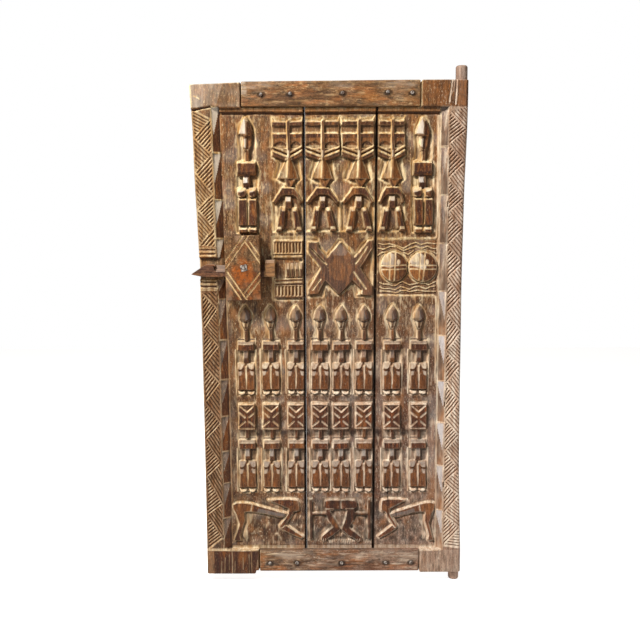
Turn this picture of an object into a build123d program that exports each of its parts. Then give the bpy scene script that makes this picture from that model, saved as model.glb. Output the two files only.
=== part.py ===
"""Granary door of three carved hardwood planks, with its wooden lock and iron pins.

The leaf turns on two pegs of its hinge plank. The origin is on the pegs' axis, at the
shoulder of the lower peg. +Z is up along the axis, the leaf runs from it along -X, and
the carved front faces -Y. All lengths are in millimetres.
"""
import os
from build123d import *

# ---------------------------------------------------------------- driving dimensions
# Levels across the leaf's thickness
BACK = 20.0          # flat back face
GROUND = -9.0        # carved ground between the figures
FRONT = -26.0        # stiles, corner blocks and rails
RELIEF = GROUND - FRONT

# The leaf's outline: both long edges are hand hewn and not quite straight
LOCK_EDGE = [
    (-760.5, -4.0), (-761.2, 350.0), (-763.0, 750.0), (-768.0, 1000.0),
    (-776.5, 1215.0), (-779.0, 1330.0), (-783.0, 1400.0), (-787.0, 1462.0),
]
HINGE_X = 18.0
HINGE_TOP = 1474.0
WORN_EDGE = [(17.0, 1330.0), (11.5, 1170.0), (8.0, 900.0), (8.5, 620.0), (10.5, 310.0), (16.5, 120.0)]
HINGE_ROUND = 12.0
LOCK_ROUND = 4.0
FIELD_TOP = 1400.0
FIELD_BOTTOM = 72.0

# Pivot pegs
LOWER_PEG_RADIUS = 16.5
LOWER_PEG_LENGTH = 28.0
UPPER_PEG_RADIUS = 17.5
UPPER_PEG_LENGTH = 42.0
PEG_CHAMFER = 3.0

# Open joints between the planks; the outer planks' edges lean in until they nearly close them at the back
JOINT_GAP = 5.6
JOINT_LEAN = 4.8
LOCK_JOINT_X = -457.0
HINGE_JOINT_TOP_X = -245.0
HINGE_JOINT_BOTTOM_X = -250.4

# Rails, let in between the corner blocks
RAIL_GAP = 2.4
TOP_RAIL_LEFT = -637.0
TOP_RAIL_RIGHT = -121.0
BOTTOM_RAIL_LEFT = -599.0
BOTTOM_RAIL_RIGHT = -111.5
BOTTOM_RAIL_FOOT = 5.0

# Forged iron nails of square section, driven through and clinched into the back
NAIL = 5.0
NAIL_HEAD = 13.0
NAIL_HEAD_HEIGHT = 4.0
CLINCH_LENGTH = 17.0
CLINCH_THICKNESS = 3.0
NAIL_PLAY = 0.15
TOP_NAILS = [(-580.0, 1433.0), (-496.0, 1435.0), (-345.0, 1437.0), (-215.0, 1439.0), (-145.0, 1437.0)]
BOTTOM_NAILS = [(-568.0, 31.0), (-485.0, 32.0), (-348.0, 31.0), (-213.0, 32.0), (-135.0, 33.0)]

# Iron pins let into the facing edges of the planks; they cross the open joints
PIN_RADIUS = 2.0
PIN_LENGTH = 36.0
PIN_Y = -3.0
PIN_PLAY = 0.1
LOCK_JOINT_PINS = [848.0, 543.0]
HINGE_JOINT_PINS = [914.0, 873.0, 542.0]

# Lock case, bolt and tumblers
CASE_OUTLINE = [(-688.5, 1029.0), (-587.0, 1033.0), (-582.5, 845.0), (-684.5, 842.0)]
CASE_BACK = -15.0
CASE_FRONT = -60.0
CASE_LIP = [(-583.5, 911.0), (-571.5, 909.0), (-570.5, 848.0), (-583.5, 845.5)]
CASE_LIP_FRONT = -36.0
BOLT_BACK = -16.0
BOLT_FRONT = -40.0
BOLT_FOOT = 911.0
BOLT_TOP = 945.0
BOLT_HEAD_TOP = 948.0
BOLT_STOP_TOP = 960.0
BOLT_STOP_LEFT = -572.5
BOLT_STOP_RIGHT = -544.0
BOLT_PLAY = 0.4
THROW_LEFT = 5.0
THROW_RIGHT = 50.0
LOCK_NAIL = 6.0
LOCK_NAIL_AT = (-632.0, 937.0)
WASHER_SIZE = 20.0
WASHER_THICKNESS = 2.5
WASHER_TURN = 12.0
TUMBLER_RADIUS = 2.5
TUMBLER_LENGTH = 52.0
TUMBLER_LIFT = 12.0
TUMBLER_X = [-614.0, -604.0, -594.0]
TUMBLER_Y = -22.0
TUMBLER_REST_GAP = 0.3
KEY_SLOT_HEIGHT = 11.0
KEY_SLOT_WIDTH = 9.0
KEY_SLOT_FLOOR = 917.0
KEY_SLOT_END = -619.0

# Columns of the two rows of standing figures, and how far the second row is lower
LOCK_COLUMNS = [-637.0, -561.0, -485.0]
CENTRE_COLUMNS = [-414.0, -350.0, -279.0]
HINGE_COLUMNS = [-197.0, -117.0]
ROW_DROP = 305.0

# Heights of the carving above its ground
LOW = 5.0
MIDDLE = 9.0
HIGH = 12.0
PROUD = 15.0

os.makedirs("parts", exist_ok=True)

# ---------------------------------------------------------------- working planes
def front_plane(y):
    """A plane across the leaf at depth y, seen from the front: x is X and y is Z."""
    return Plane(origin=(0, y, 0), x_dir=(1, 0, 0), z_dir=(0, -1, 0))


carving = front_plane(GROUND)


def along(start, end, z):
    """X at height z on the straight line from start to end."""
    share = (z - start[1]) / (end[1] - start[1])
    return start[0] + share * (end[0] - start[0])


def hinge_joint(z):
    """X of the middle of the joint next to the hinge plank at height z."""
    return along((HINGE_JOINT_BOTTOM_X, FIELD_BOTTOM), (HINGE_JOINT_TOP_X, FIELD_TOP), z)


# ---------------------------------------------------------------- carved motifs
# Each motif is a list of (outline, height) pairs: an outline in X and Z, and how far it
# stands above the carved ground.
def block(left, right, low, high, height):
    """A plain raised block."""
    return [([(left, low), (right, low), (right, high), (left, high)], height)]


def tall_figure(x):
    """One of the two large standing figures below the top rail."""
    head = [
        (x - 20, 1322), (x - 12, 1350), (x - 3, 1371), (x + 4, 1371), (x + 16, 1348),
        (x + 22, 1320), (x + 16, 1290), (x + 10, 1244), (x - 5, 1244), (x - 11, 1290),
    ]
    shapes = [(head, HIGH)]
    shapes += block(x - 27, x + 26, 1206, 1245, PROUD)
    shapes += block(x - 11, x + 11, 1164, 1206, MIDDLE)
    shapes += block(x - 26, x - 4, 1058, 1164, HIGH)
    shapes += block(x + 4, x + 26, 1058, 1164, HIGH)
    shapes += block(x - 24, x + 27, 1038, 1050, MIDDLE)
    return shapes


def mask_figure(x):
    """A small figure under a mask with two cross bars."""
    upper_bar = [
        (x - 46, 1346), (x + 42, 1346), (x + 42, 1369), (x + 35, 1358),
        (x + 2, 1358), (x, 1366), (x - 4, 1358), (x - 38, 1358), (x - 46, 1368),
    ]
    face = [(x - 45, 1323), (x + 42, 1323), (x + 42, 1270), (x, 1252), (x - 45, 1264)]
    beak = [(x - 8, 1262), (x + 10, 1262), (x + 34, 1192), (x - 34, 1192)]
    arch = [
        (x - 20, 1168), (x + 18, 1168), (x + 30, 1150), (x + 44, 1126), (x + 34, 1126),
        (x + 14, 1148), (x - 14, 1148), (x - 36, 1126), (x - 46, 1126), (x - 34, 1150),
    ]
    lock_leg = [(x - 14, 1104), (x - 28, 1100), (x - 37, 1046), (x - 17, 1046)]
    hinge_leg = [(x + 10, 1104), (x + 24, 1100), (x + 32, 1046), (x + 16, 1046)]
    shapes = [(upper_bar, HIGH), (face, HIGH), (beak, MIDDLE), (arch, HIGH)]
    shapes += block(x - 4, x + 5, 1323, 1346, PROUD)
    shapes += block(x - 10, x + 9, 1100, 1146, HIGH)
    shapes += [(lock_leg, MIDDLE), (hinge_leg, MIDDLE)]
    return shapes


def figure_body(x, drop):
    """Shoulders, trunk, hips and legs of a standing figure, lowered by drop."""
    shapes = block(x - 26, x + 25, 691 - drop, 716 - drop, PROUD)
    shapes += block(x - 8, x + 8, 652 - drop, 691 - drop, MIDDLE)
    for side in (-1, 1):
        inner, outer = x + side * 4, x + side * 25
        left, right = min(inner, outer), max(inner, outer)
        shapes += block(left, right, 626 - drop, 648 - drop, HIGH)
        shapes += block(left, right, 560 - drop, 618 - drop, HIGH)
    return shapes


def headed_figure(x):
    """A standing figure of the upper row, with a pointed oval head."""
    head = [
        (x - 16, 788), (x - 13, 806), (x - 4, 824), (x + 3, 826), (x + 13, 808),
        (x + 17, 788), (x + 11, 764), (x + 6, 748), (x - 4, 748), (x - 10, 764),
    ]
    shapes = [(head, HIGH)]
    shapes += block(x - 5, x + 7, 716, 750, MIDDLE)
    return shapes + figure_body(x, 0.0)


def shielded_figure(x):
    """A standing figure of the lower row, below a square shield."""
    shapes = block(x - 25, x + 24, 450, 526, HIGH)
    shapes += block(x - 6, x + 7, 411, 450, MIDDLE)
    return shapes + figure_body(x, ROW_DROP)


def divider(left, right):
    """The upright strips between two columns of standing figures, one in each row."""
    shapes = block(left, right, 556, 704, MIDDLE)
    return shapes + block(left, right, 252, 530, MIDDLE)


def beast(x, reach):
    """A four-legged animal: its tail end is at x, and it is reach long, to either side."""
    def at(share, z):
        return (x + share * reach, z)

    trunk = [
        at(0.02, 218), at(0.27, 217), at(0.70, 186), at(0.66, 168), at(0.38, 186), at(0.18, 189),
        at(0.17, 160), at(0.09, 112), at(0.12, 98), at(0.0, 98), at(0.09, 150), at(0.01, 200),
    ]
    head = [
        at(0.50, 226), at(0.88, 231), at(0.95, 222), at(0.94, 192), at(0.84, 185),
        at(0.73, 148), at(0.65, 140), at(0.73, 166), at(0.78, 182), at(0.78, 198),
    ]
    foreleg = [at(0.65, 140), at(0.73, 148), at(1.0, 108), at(0.97, 102), at(0.70, 131)]
    return [(trunk, MIDDLE), (head, MIDDLE), (foreleg, LOW)]


def squatting_figure():
    """The frontal figure in the middle of the lowest row, between its two posts."""
    body = [
        (-402, 205), (-398, 224), (-303, 224), (-300, 202), (-320, 196), (-318, 186),
        (-268, 186), (-268, 178), (-314, 175), (-328, 140), (-287, 112), (-290, 101),
        (-308, 106), (-350, 128), (-390, 103), (-410, 102), (-410, 114), (-377, 140),
        (-394, 178), (-438, 179), (-438, 186), (-390, 187), (-392, 196),
    ]
    shapes = [(body, MIDDLE)]
    shapes += block(-447, -438, 100, 228, MIDDLE)
    shapes += block(-268, -258, 100, 226, MIDDLE)
    return shapes


def tortoise():
    """The large lozenge with four bent limbs in the middle of the door."""
    outline = [
        (-352, 1014), (-312, 967), (-285, 998), (-262, 1018), (-256, 1012), (-256, 985),
        (-290, 938), (-256, 888), (-256, 856), (-300, 854), (-290, 868), (-318, 900),
        (-356, 855), (-393, 898), (-418, 868), (-430, 852), (-450, 852), (-450, 872),
        (-413, 925), (-413, 940), (-447, 978), (-450, 1014), (-418, 1014), (-390, 967),
    ]
    return [(outline, HIGH)]


def comb_panels():
    """The low panels that carry rows of upright slots, near the lock."""
    shapes = block(-548, -463, 967, 1018, LOW)
    shapes += block(-513, -463, 909, 958, LOW)
    return shapes + block(-550, -463, 848, 900, LOW)


lock_motifs = tall_figure(-624.0) + mask_figure(-505.0) + comb_panels() + beast(-682.0, 218.0)
lock_motifs += divider(-608, -591) + divider(-532, -515)
for column in LOCK_COLUMNS:
    lock_motifs += headed_figure(column) + shielded_figure(column)

centre_motifs = mask_figure(-404.0) + mask_figure(-299.0) + tortoise() + squatting_figure()
centre_motifs += divider(-386, -378) + divider(-321, -308)
for column in CENTRE_COLUMNS:
    centre_motifs += headed_figure(column) + shielded_figure(column)

hinge_motifs = mask_figure(-196.0) + tall_figure(-114.0) + beast(-62.0, -176.0)
hinge_motifs += divider(-168, -146)
for column in HINGE_COLUMNS:
    hinge_motifs += headed_figure(column) + shielded_figure(column)



def heights_of(motifs):
    """The different heights that a list of motifs needs."""
    return sorted({raised for outline, raised in motifs})


# Round bosses beside the centre motif, and the triangle cut out of the squatting figure
BOSSES = [(-192.5, 936.0), (-106.5, 936.0)]
BOSS_RADIUS = 42.0
BOSS_HEIGHT = 14.0
BODY_TRIANGLE = [(-378, 188), (-350, 145), (-332, 190)]

# Faceted moulding beside each stile: the top of every facet, from the top down
LOCK_FACETS = [1397, 1269, 1134, 1021, 842, 720, 600, 488, 379, 281, 171]
HINGE_FACETS = [1400, 1285, 1146, 1006, 865, 732, 595, 467, 333, 194]
FACET_RUN = 62.0
FACET_FLOOR = 2.0
MOULDING_WIDTH = 23.0
LOCK_STILE_LINE = [(-709.0, FIELD_BOTTOM), (-711.5, 700.0), (-725.5, FIELD_TOP)]
HINGE_STILE_X = -38.0
NOTCH_LOW = 902.0
NOTCH_HIGH = 966.0


def lock_moulding(z):
    """X where the lock stile's flat face ends and its moulding begins, at height z."""
    low, bend, high = LOCK_STILE_LINE
    return along(low, bend, z) if z < bend[1] else along(bend, high, z)


def facet_profile(top):
    """Side view, in Y and Z, of the scoop that makes one facet of a moulding."""
    return [(FRONT - 1, top), (GROUND - FACET_FLOOR, top), (FRONT - 1, top - FACET_RUN)]


def nail_outline(at, size):
    """A square of the given size about a nail's axis."""
    x, z = at
    half = size / 2
    return [(x - half, z - half), (x + half, z - half), (x + half, z + half), (x - half, z + half)]


def clinch_outline(at, size, play, direction):
    """The bent end of a nail, which lies along Z on the back face."""
    x, z = at
    half = size / 2 + play
    near = z - direction * half
    far = z + direction * (CLINCH_LENGTH + play)
    return [(x - half, near), (x + half, near), (x + half, far), (x - half, far)]


# ---------------------------------------------------------------- planks
HALF_GAP = JOINT_GAP / 2
LOCK_SIDE = LOCK_JOINT_X - HALF_GAP
CENTRE_LEFT = LOCK_JOINT_X + HALF_GAP
SLAB_TOP = 1467.0
HINGE_SLAB_TOP = 1470.0
SLAB_FOOT = 6.5
STILE_BACKING = 15.0

lock_slab = [
    (-740.0, 1463.0), (-639.0, 1468.5), (LOCK_SIDE, SLAB_TOP), (LOCK_SIDE, SLAB_FOOT),
    (-601.0, SLAB_FOOT), (-601.0, -4.0), (-740.0, -4.0),
]
centre_slab = [
    (CENTRE_LEFT, SLAB_TOP), (hinge_joint(SLAB_TOP) - HALF_GAP, SLAB_TOP),
    (hinge_joint(SLAB_FOOT) - HALF_GAP, SLAB_FOOT), (CENTRE_LEFT, SLAB_FOOT),
]
hinge_slab = [
    (hinge_joint(HINGE_SLAB_TOP) + HALF_GAP, HINGE_SLAB_TOP), (-118.6, HINGE_SLAB_TOP), (-118.6, HINGE_TOP),
    (HINGE_STILE_X + STILE_BACKING, HINGE_TOP), (HINGE_STILE_X + STILE_BACKING, 0.0),
    (-109.0, 0.0), (-109.0, SLAB_FOOT), (hinge_joint(SLAB_FOOT) + HALF_GAP, SLAB_FOOT),
]
lock_top_block = [
    (-740.0, 1463.0), (TOP_RAIL_LEFT - RAIL_GAP, 1468.5), (TOP_RAIL_LEFT - RAIL_GAP, FIELD_TOP - 3),
    (-740.0, FIELD_TOP - 3),
]
lock_bottom_block = [
    (-740.0, FIELD_BOTTOM), (BOTTOM_RAIL_LEFT - RAIL_GAP, FIELD_BOTTOM),
    (BOTTOM_RAIL_LEFT - RAIL_GAP, -4.0), (-740.0, -4.0),
]
hinge_top_block = [
    (TOP_RAIL_RIGHT + RAIL_GAP, HINGE_TOP), (-30.0, HINGE_TOP), (-30.0, FIELD_TOP),
    (TOP_RAIL_RIGHT + RAIL_GAP, FIELD_TOP),
]
hinge_bottom_block = [
    (BOTTOM_RAIL_RIGHT + RAIL_GAP, FIELD_BOTTOM), (-30.0, FIELD_BOTTOM), (-30.0, 0.0),
    (BOTTOM_RAIL_RIGHT + RAIL_GAP, 0.0),
]

lock_nail_holes = TOP_NAILS[:2] + BOTTOM_NAILS[:2]
centre_nail_holes = TOP_NAILS[2:3] + BOTTOM_NAILS[2:3]
hinge_nail_holes = TOP_NAILS[3:] + BOTTOM_NAILS[3:]
lock_pin_places = [(LOCK_JOINT_X, z) for z in LOCK_JOINT_PINS]
hinge_pin_places = [(hinge_joint(z), z) for z in HINGE_JOINT_PINS]


def tail_direction(at):
    """Nail ends are turned towards the middle of the leaf: down at the top, up at the foot."""
    return -1 if at[1] > FIELD_TOP else 1


def leaning_edge(x, lean):
    """Cross-section of what a leaning edge adds behind a square edge at x."""
    return [(x, GROUND), (x, BACK), (x + lean, BACK)]


with BuildPart() as lock_plank:
    # the stile, full thickness, with its hewn outer edge
    with BuildSketch(front_plane(BACK)):
        with BuildLine():
            Spline(*LOCK_EDGE)
            Polyline(
                LOCK_EDGE[-1], (lock_moulding(FIELD_TOP), 1463.0), (lock_moulding(FIELD_TOP), FIELD_TOP),
                LOCK_STILE_LINE[1], LOCK_STILE_LINE[0], (LOCK_STILE_LINE[0][0], -4.0), LOCK_EDGE[0],
            )
        make_face()
    extrude(amount=BACK - FRONT)
    fillet(lock_plank.edges().filter_by(GeomType.BSPLINE), LOCK_ROUND)
    with BuildSketch(front_plane(BACK)):
        with BuildLine():
            Polyline(*lock_slab, close=True)
        make_face()
    extrude(amount=BACK - GROUND)
    with BuildSketch(Plane.XY.offset(SLAB_FOOT)):
        with BuildLine():
            Polyline(*leaning_edge(LOCK_SIDE, JOINT_LEAN), close=True)
        make_face()
    extrude(amount=SLAB_TOP - SLAB_FOOT)
    with BuildSketch(carving):
        for outline in (lock_top_block, lock_bottom_block):
            with BuildLine():
                Polyline(*outline, close=True)
            make_face()
    extrude(amount=RELIEF)
    # the moulding between the stile and the carved field
    for x, z in LOCK_STILE_LINE:
        with BuildSketch(Plane.XY.offset(z)):
            with BuildLine():
                Polyline((x, GROUND), (x, FRONT), (x + MOULDING_WIDTH, GROUND), close=True)
            make_face()
    loft(ruled=True)
    for top in LOCK_FACETS:
        start = lock_moulding(top - FACET_RUN / 2) - 0.5
        with BuildSketch(Plane.YZ.offset(start)):
            with BuildLine():
                Polyline(*facet_profile(top), close=True)
            make_face()
        extrude(amount=MOULDING_WIDTH + 2, mode=Mode.SUBTRACT)
    # seat of the lock case
    with BuildSketch(carving):
        with BuildLine():
            Polyline((-682, 846), (-586, 848), (-590, 1029), (-685, 1025), close=True)
        make_face()
    extrude(amount=GROUND - CASE_BACK)
    for height in heights_of(lock_motifs):
        with BuildSketch(carving):
            for outline, raised in lock_motifs:
                if raised == height:
                    with BuildLine():
                        Polyline(*outline, close=True)
                    make_face()
        extrude(amount=height)
    # the bolt's notch across the stile
    with BuildSketch(front_plane(CASE_BACK)):
        with Locations((-745.0, (NOTCH_LOW + NOTCH_HIGH) / 2)):
            Rectangle(110.0, NOTCH_HIGH - NOTCH_LOW)
    extrude(amount=20.0, mode=Mode.SUBTRACT)
    # nail holes, and the grooves for the clinched ends
    with BuildSketch(front_plane(BACK)):
        for at in lock_nail_holes:
            with BuildLine():
                Polyline(*nail_outline(at, NAIL + 2 * NAIL_PLAY), close=True)
            make_face()
        with BuildLine():
            Polyline(*nail_outline(LOCK_NAIL_AT, LOCK_NAIL + 2 * NAIL_PLAY), close=True)
        make_face()
    extrude(amount=BACK - FRONT + 1, mode=Mode.SUBTRACT)
    with BuildSketch(front_plane(BACK)):
        for at in lock_nail_holes:
            with BuildLine():
                Polyline(*clinch_outline(at, NAIL, NAIL_PLAY, tail_direction(at)), close=True)
            make_face()
        with BuildLine():
            Polyline(*clinch_outline(LOCK_NAIL_AT, LOCK_NAIL, NAIL_PLAY, -1), close=True)
        make_face()
    extrude(amount=CLINCH_THICKNESS + NAIL_PLAY, mode=Mode.SUBTRACT)
    for x, z in lock_pin_places:
        with BuildSketch(Plane.YZ.offset(x - PIN_LENGTH / 2 - 1)):
            with Locations((PIN_Y, z)):
                Circle(PIN_RADIUS + PIN_PLAY)
        extrude(amount=PIN_LENGTH + 2, mode=Mode.SUBTRACT)

with BuildPart() as centre_plank:
    with BuildSketch(front_plane(BACK)):
        with BuildLine():
            Polyline(*centre_slab, close=True)
        make_face()
    extrude(amount=BACK - GROUND)
    for height in heights_of(centre_motifs):
        with BuildSketch(carving):
            for outline, raised in centre_motifs:
                if raised == height:
                    with BuildLine():
                        Polyline(*outline, close=True)
                    make_face()
        extrude(amount=height)
    with BuildSketch(carving):
        with BuildLine():
            Polyline(*BODY_TRIANGLE, close=True)
        make_face()
    extrude(amount=RELIEF, mode=Mode.SUBTRACT)
    with BuildSketch(front_plane(BACK)):
        for at in centre_nail_holes:
            with BuildLine():
                Polyline(*nail_outline(at, NAIL + 2 * NAIL_PLAY), close=True)
            make_face()
    extrude(amount=BACK - FRONT + 1, mode=Mode.SUBTRACT)
    with BuildSketch(front_plane(BACK)):
        for at in centre_nail_holes:
            with BuildLine():
                Polyline(*clinch_outline(at, NAIL, NAIL_PLAY, tail_direction(at)), close=True)
            make_face()
    extrude(amount=CLINCH_THICKNESS + NAIL_PLAY, mode=Mode.SUBTRACT)
    for x, z in lock_pin_places + hinge_pin_places:
        with BuildSketch(Plane.YZ.offset(x - PIN_LENGTH / 2 - 1)):
            with Locations((PIN_Y, z)):
                Circle(PIN_RADIUS + PIN_PLAY)
        extrude(amount=PIN_LENGTH + 2, mode=Mode.SUBTRACT)

boss_sphere = (BOSS_RADIUS**2 + BOSS_HEIGHT**2) / (2 * BOSS_HEIGHT)
with BuildPart() as boss:
    with Locations((0, boss_sphere - BOSS_HEIGHT, 0)):
        Sphere(boss_sphere)
    split(bisect_by=front_plane(1.0), keep=Keep.TOP)

with BuildPart() as hinge_plank:
    # the stile, full thickness, its outer edge worn hollow between the corner blocks
    with BuildSketch(front_plane(BACK)):
        with BuildLine():
            Spline((HINGE_X, FIELD_TOP), *WORN_EDGE, (HINGE_X, FIELD_BOTTOM), tangents=[(0, -1), (0, -1)])
            Polyline(
                (HINGE_X, FIELD_BOTTOM), (HINGE_X, 0.0), (HINGE_STILE_X, 0.0),
                (HINGE_STILE_X, HINGE_TOP), (HINGE_X, HINGE_TOP), (HINGE_X, FIELD_TOP),
            )
        make_face()
    extrude(amount=BACK - FRONT)
    outer_faces = hinge_plank.faces().filter_by(lambda face: face.center().X > 5)
    long_edges = outer_faces.edges().filter_by(lambda edge: abs(edge.center().Y) > 15)
    fillet(long_edges.filter_by(lambda edge: edge.length > 50), HINGE_ROUND)
    with BuildSketch(front_plane(BACK)):
        with BuildLine():
            Polyline(*hinge_slab, close=True)
        make_face()
    extrude(amount=BACK - GROUND)
    for z in (SLAB_FOOT, HINGE_SLAB_TOP):
        with BuildSketch(Plane.XY.offset(z)):
            with BuildLine():
                Polyline(*leaning_edge(hinge_joint(z) + HALF_GAP, -JOINT_LEAN), close=True)
            make_face()
    loft(ruled=True)
    with BuildSketch(carving):
        for outline in (hinge_top_block, hinge_bottom_block):
            with BuildLine():
                Polyline(*outline, close=True)
            make_face()
    extrude(amount=RELIEF)
    # the moulding between the stile and the carved field
    with BuildSketch(Plane.XY.offset(FIELD_BOTTOM)):
        with BuildLine():
            Polyline(
                (HINGE_STILE_X, GROUND), (HINGE_STILE_X, FRONT),
                (HINGE_STILE_X - MOULDING_WIDTH, GROUND), close=True,
            )
        make_face()
    extrude(amount=FIELD_TOP - FIELD_BOTTOM)
    for top in HINGE_FACETS:
        with BuildSketch(Plane.YZ.offset(HINGE_STILE_X - MOULDING_WIDTH - 2)):
            with BuildLine():
                Polyline(*facet_profile(top), close=True)
            make_face()
        extrude(amount=MOULDING_WIDTH + 2.5, mode=Mode.SUBTRACT)
    for height in heights_of(hinge_motifs):
        with BuildSketch(carving):
            for outline, raised in hinge_motifs:
                if raised == height:
                    with BuildLine():
                        Polyline(*outline, close=True)
                    make_face()
        extrude(amount=height)
    for x, z in BOSSES:
        with Locations((x, GROUND, z)):
            add(boss.part)
    with Locations((0, 0, -LOWER_PEG_LENGTH / 2)):
        Cylinder(LOWER_PEG_RADIUS, LOWER_PEG_LENGTH)
    with Locations((0, 0, HINGE_TOP + UPPER_PEG_LENGTH / 2)):
        Cylinder(UPPER_PEG_RADIUS, UPPER_PEG_LENGTH)
    tips = hinge_plank.faces().filter_by(Axis.Z).group_by(Axis.Z)
    chamfer(tips[0].edges() + tips[-1].edges(), PEG_CHAMFER)
    with BuildSketch(front_plane(BACK)):
        for at in hinge_nail_holes:
            with BuildLine():
                Polyline(*nail_outline(at, NAIL + 2 * NAIL_PLAY), close=True)
            make_face()
    extrude(amount=BACK - FRONT + 1, mode=Mode.SUBTRACT)
    with BuildSketch(front_plane(BACK)):
        for at in hinge_nail_holes:
            with BuildLine():
                Polyline(*clinch_outline(at, NAIL, NAIL_PLAY, tail_direction(at)), close=True)
            make_face()
    extrude(amount=CLINCH_THICKNESS + NAIL_PLAY, mode=Mode.SUBTRACT)
    for x, z in hinge_pin_places:
        with BuildSketch(Plane.YZ.offset(x - PIN_LENGTH / 2 - 1)):
            with Locations((PIN_Y, z)):
                Circle(PIN_RADIUS + PIN_PLAY)
        extrude(amount=PIN_LENGTH + 2, mode=Mode.SUBTRACT)

# ---------------------------------------------------------------- rails
with BuildPart() as top_rail:
    with BuildSketch(carving):
        with BuildLine():
            Polyline(
                (TOP_RAIL_LEFT, FIELD_TOP), (TOP_RAIL_RIGHT, FIELD_TOP),
                (TOP_RAIL_RIGHT, HINGE_TOP), (TOP_RAIL_LEFT, 1470.0), close=True,
            )
        make_face()
        for at in TOP_NAILS:
            with BuildLine():
                Polyline(*nail_outline(at, NAIL + 2 * NAIL_PLAY), close=True)
            make_face(mode=Mode.SUBTRACT)
    extrude(amount=RELIEF)
    chamfer(top_rail.faces().sort_by(Axis.Y)[0].outer_wire().edges().filter_by(Axis.X), 2.0)

with BuildPart() as bottom_rail:
    with BuildSketch(carving):
        with BuildLine():
            Polyline(
                (BOTTOM_RAIL_LEFT, BOTTOM_RAIL_FOOT), (BOTTOM_RAIL_RIGHT, BOTTOM_RAIL_FOOT),
                (BOTTOM_RAIL_RIGHT, FIELD_BOTTOM), (BOTTOM_RAIL_LEFT, FIELD_BOTTOM), close=True,
            )
        make_face()
        for at in BOTTOM_NAILS:
            with BuildLine():
                Polyline(*nail_outline(at, NAIL + 2 * NAIL_PLAY), close=True)
            make_face(mode=Mode.SUBTRACT)
    extrude(amount=RELIEF)
    chamfer(bottom_rail.faces().sort_by(Axis.Y)[0].outer_wire().edges().filter_by(Axis.X), 2.0)


# ---------------------------------------------------------------- iron
with BuildPart() as top_rail_nails:
    with BuildSketch(front_plane(BACK)):
        for at in TOP_NAILS:
            with BuildLine():
                Polyline(*nail_outline(at, NAIL), close=True)
            make_face()
    extrude(amount=BACK - FRONT)
    with BuildSketch(front_plane(BACK)):
        for at in TOP_NAILS:
            with BuildLine():
                Polyline(*clinch_outline(at, NAIL, 0, -1), close=True)
            make_face()
    extrude(amount=CLINCH_THICKNESS)
    with BuildSketch(front_plane(FRONT)):
        with Locations(*TOP_NAILS):
            RegularPolygon(NAIL_HEAD / 2, 7)
    extrude(amount=NAIL_HEAD_HEIGHT, taper=18)

with BuildPart() as bottom_rail_nails:
    with BuildSketch(front_plane(BACK)):
        for at in BOTTOM_NAILS:
            with BuildLine():
                Polyline(*nail_outline(at, NAIL), close=True)
            make_face()
    extrude(amount=BACK - FRONT)
    with BuildSketch(front_plane(BACK)):
        for at in BOTTOM_NAILS:
            with BuildLine():
                Polyline(*clinch_outline(at, NAIL, 0, 1), close=True)
            make_face()
    extrude(amount=CLINCH_THICKNESS)
    with BuildSketch(front_plane(FRONT)):
        with Locations(*BOTTOM_NAILS):
            RegularPolygon(NAIL_HEAD / 2, 7)
    extrude(amount=NAIL_HEAD_HEIGHT, taper=18)

with BuildPart() as joint_pins:
    for x, z in lock_pin_places + hinge_pin_places:
        with BuildSketch(Plane.YZ.offset(x - PIN_LENGTH / 2)):
            with Locations((PIN_Y, z)):
                Circle(PIN_RADIUS)
        extrude(amount=PIN_LENGTH)

# ---------------------------------------------------------------- lock
CHANNEL_LOW = BOLT_FOOT - BOLT_PLAY
CHANNEL_HIGH = BOLT_HEAD_TOP + BOLT_PLAY
CHANNEL_FRONT = BOLT_FRONT - BOLT_PLAY
TUMBLER_FOOT = BOLT_TOP + TUMBLER_REST_GAP
TUMBLER_PLAY = 0.3
SHAFT_TOP = TUMBLER_FOOT + TUMBLER_LENGTH + TUMBLER_LIFT + 0.5
CARVED_LINE = 3.0
CARVED_DEPTH = 2.0
DIAMOND_LINES = [
    ((-688, 955), (-633, 1032)), ((-684, 938), (-619, 1032)),
    ((-631, 1017), (-584, 948)), ((-617, 1016), (-585, 970)),
    ((-686, 912), (-640, 843)), ((-682, 928), (-624, 843)),
    ((-583, 927), (-634, 863)), ((-583, 905), (-626, 852)),
]


def groove_outline(start, end):
    """A narrow strip about the line from start to end."""
    along = Vector(end[0] - start[0], end[1] - start[1]).normalized()
    across = Vector(-along.Y, along.X) * (CARVED_LINE / 2)
    near, far = Vector(*start), Vector(*end)
    corners = [near + across, far + across, far - across, near - across]
    return [(corner.X, corner.Y) for corner in corners]


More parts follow.
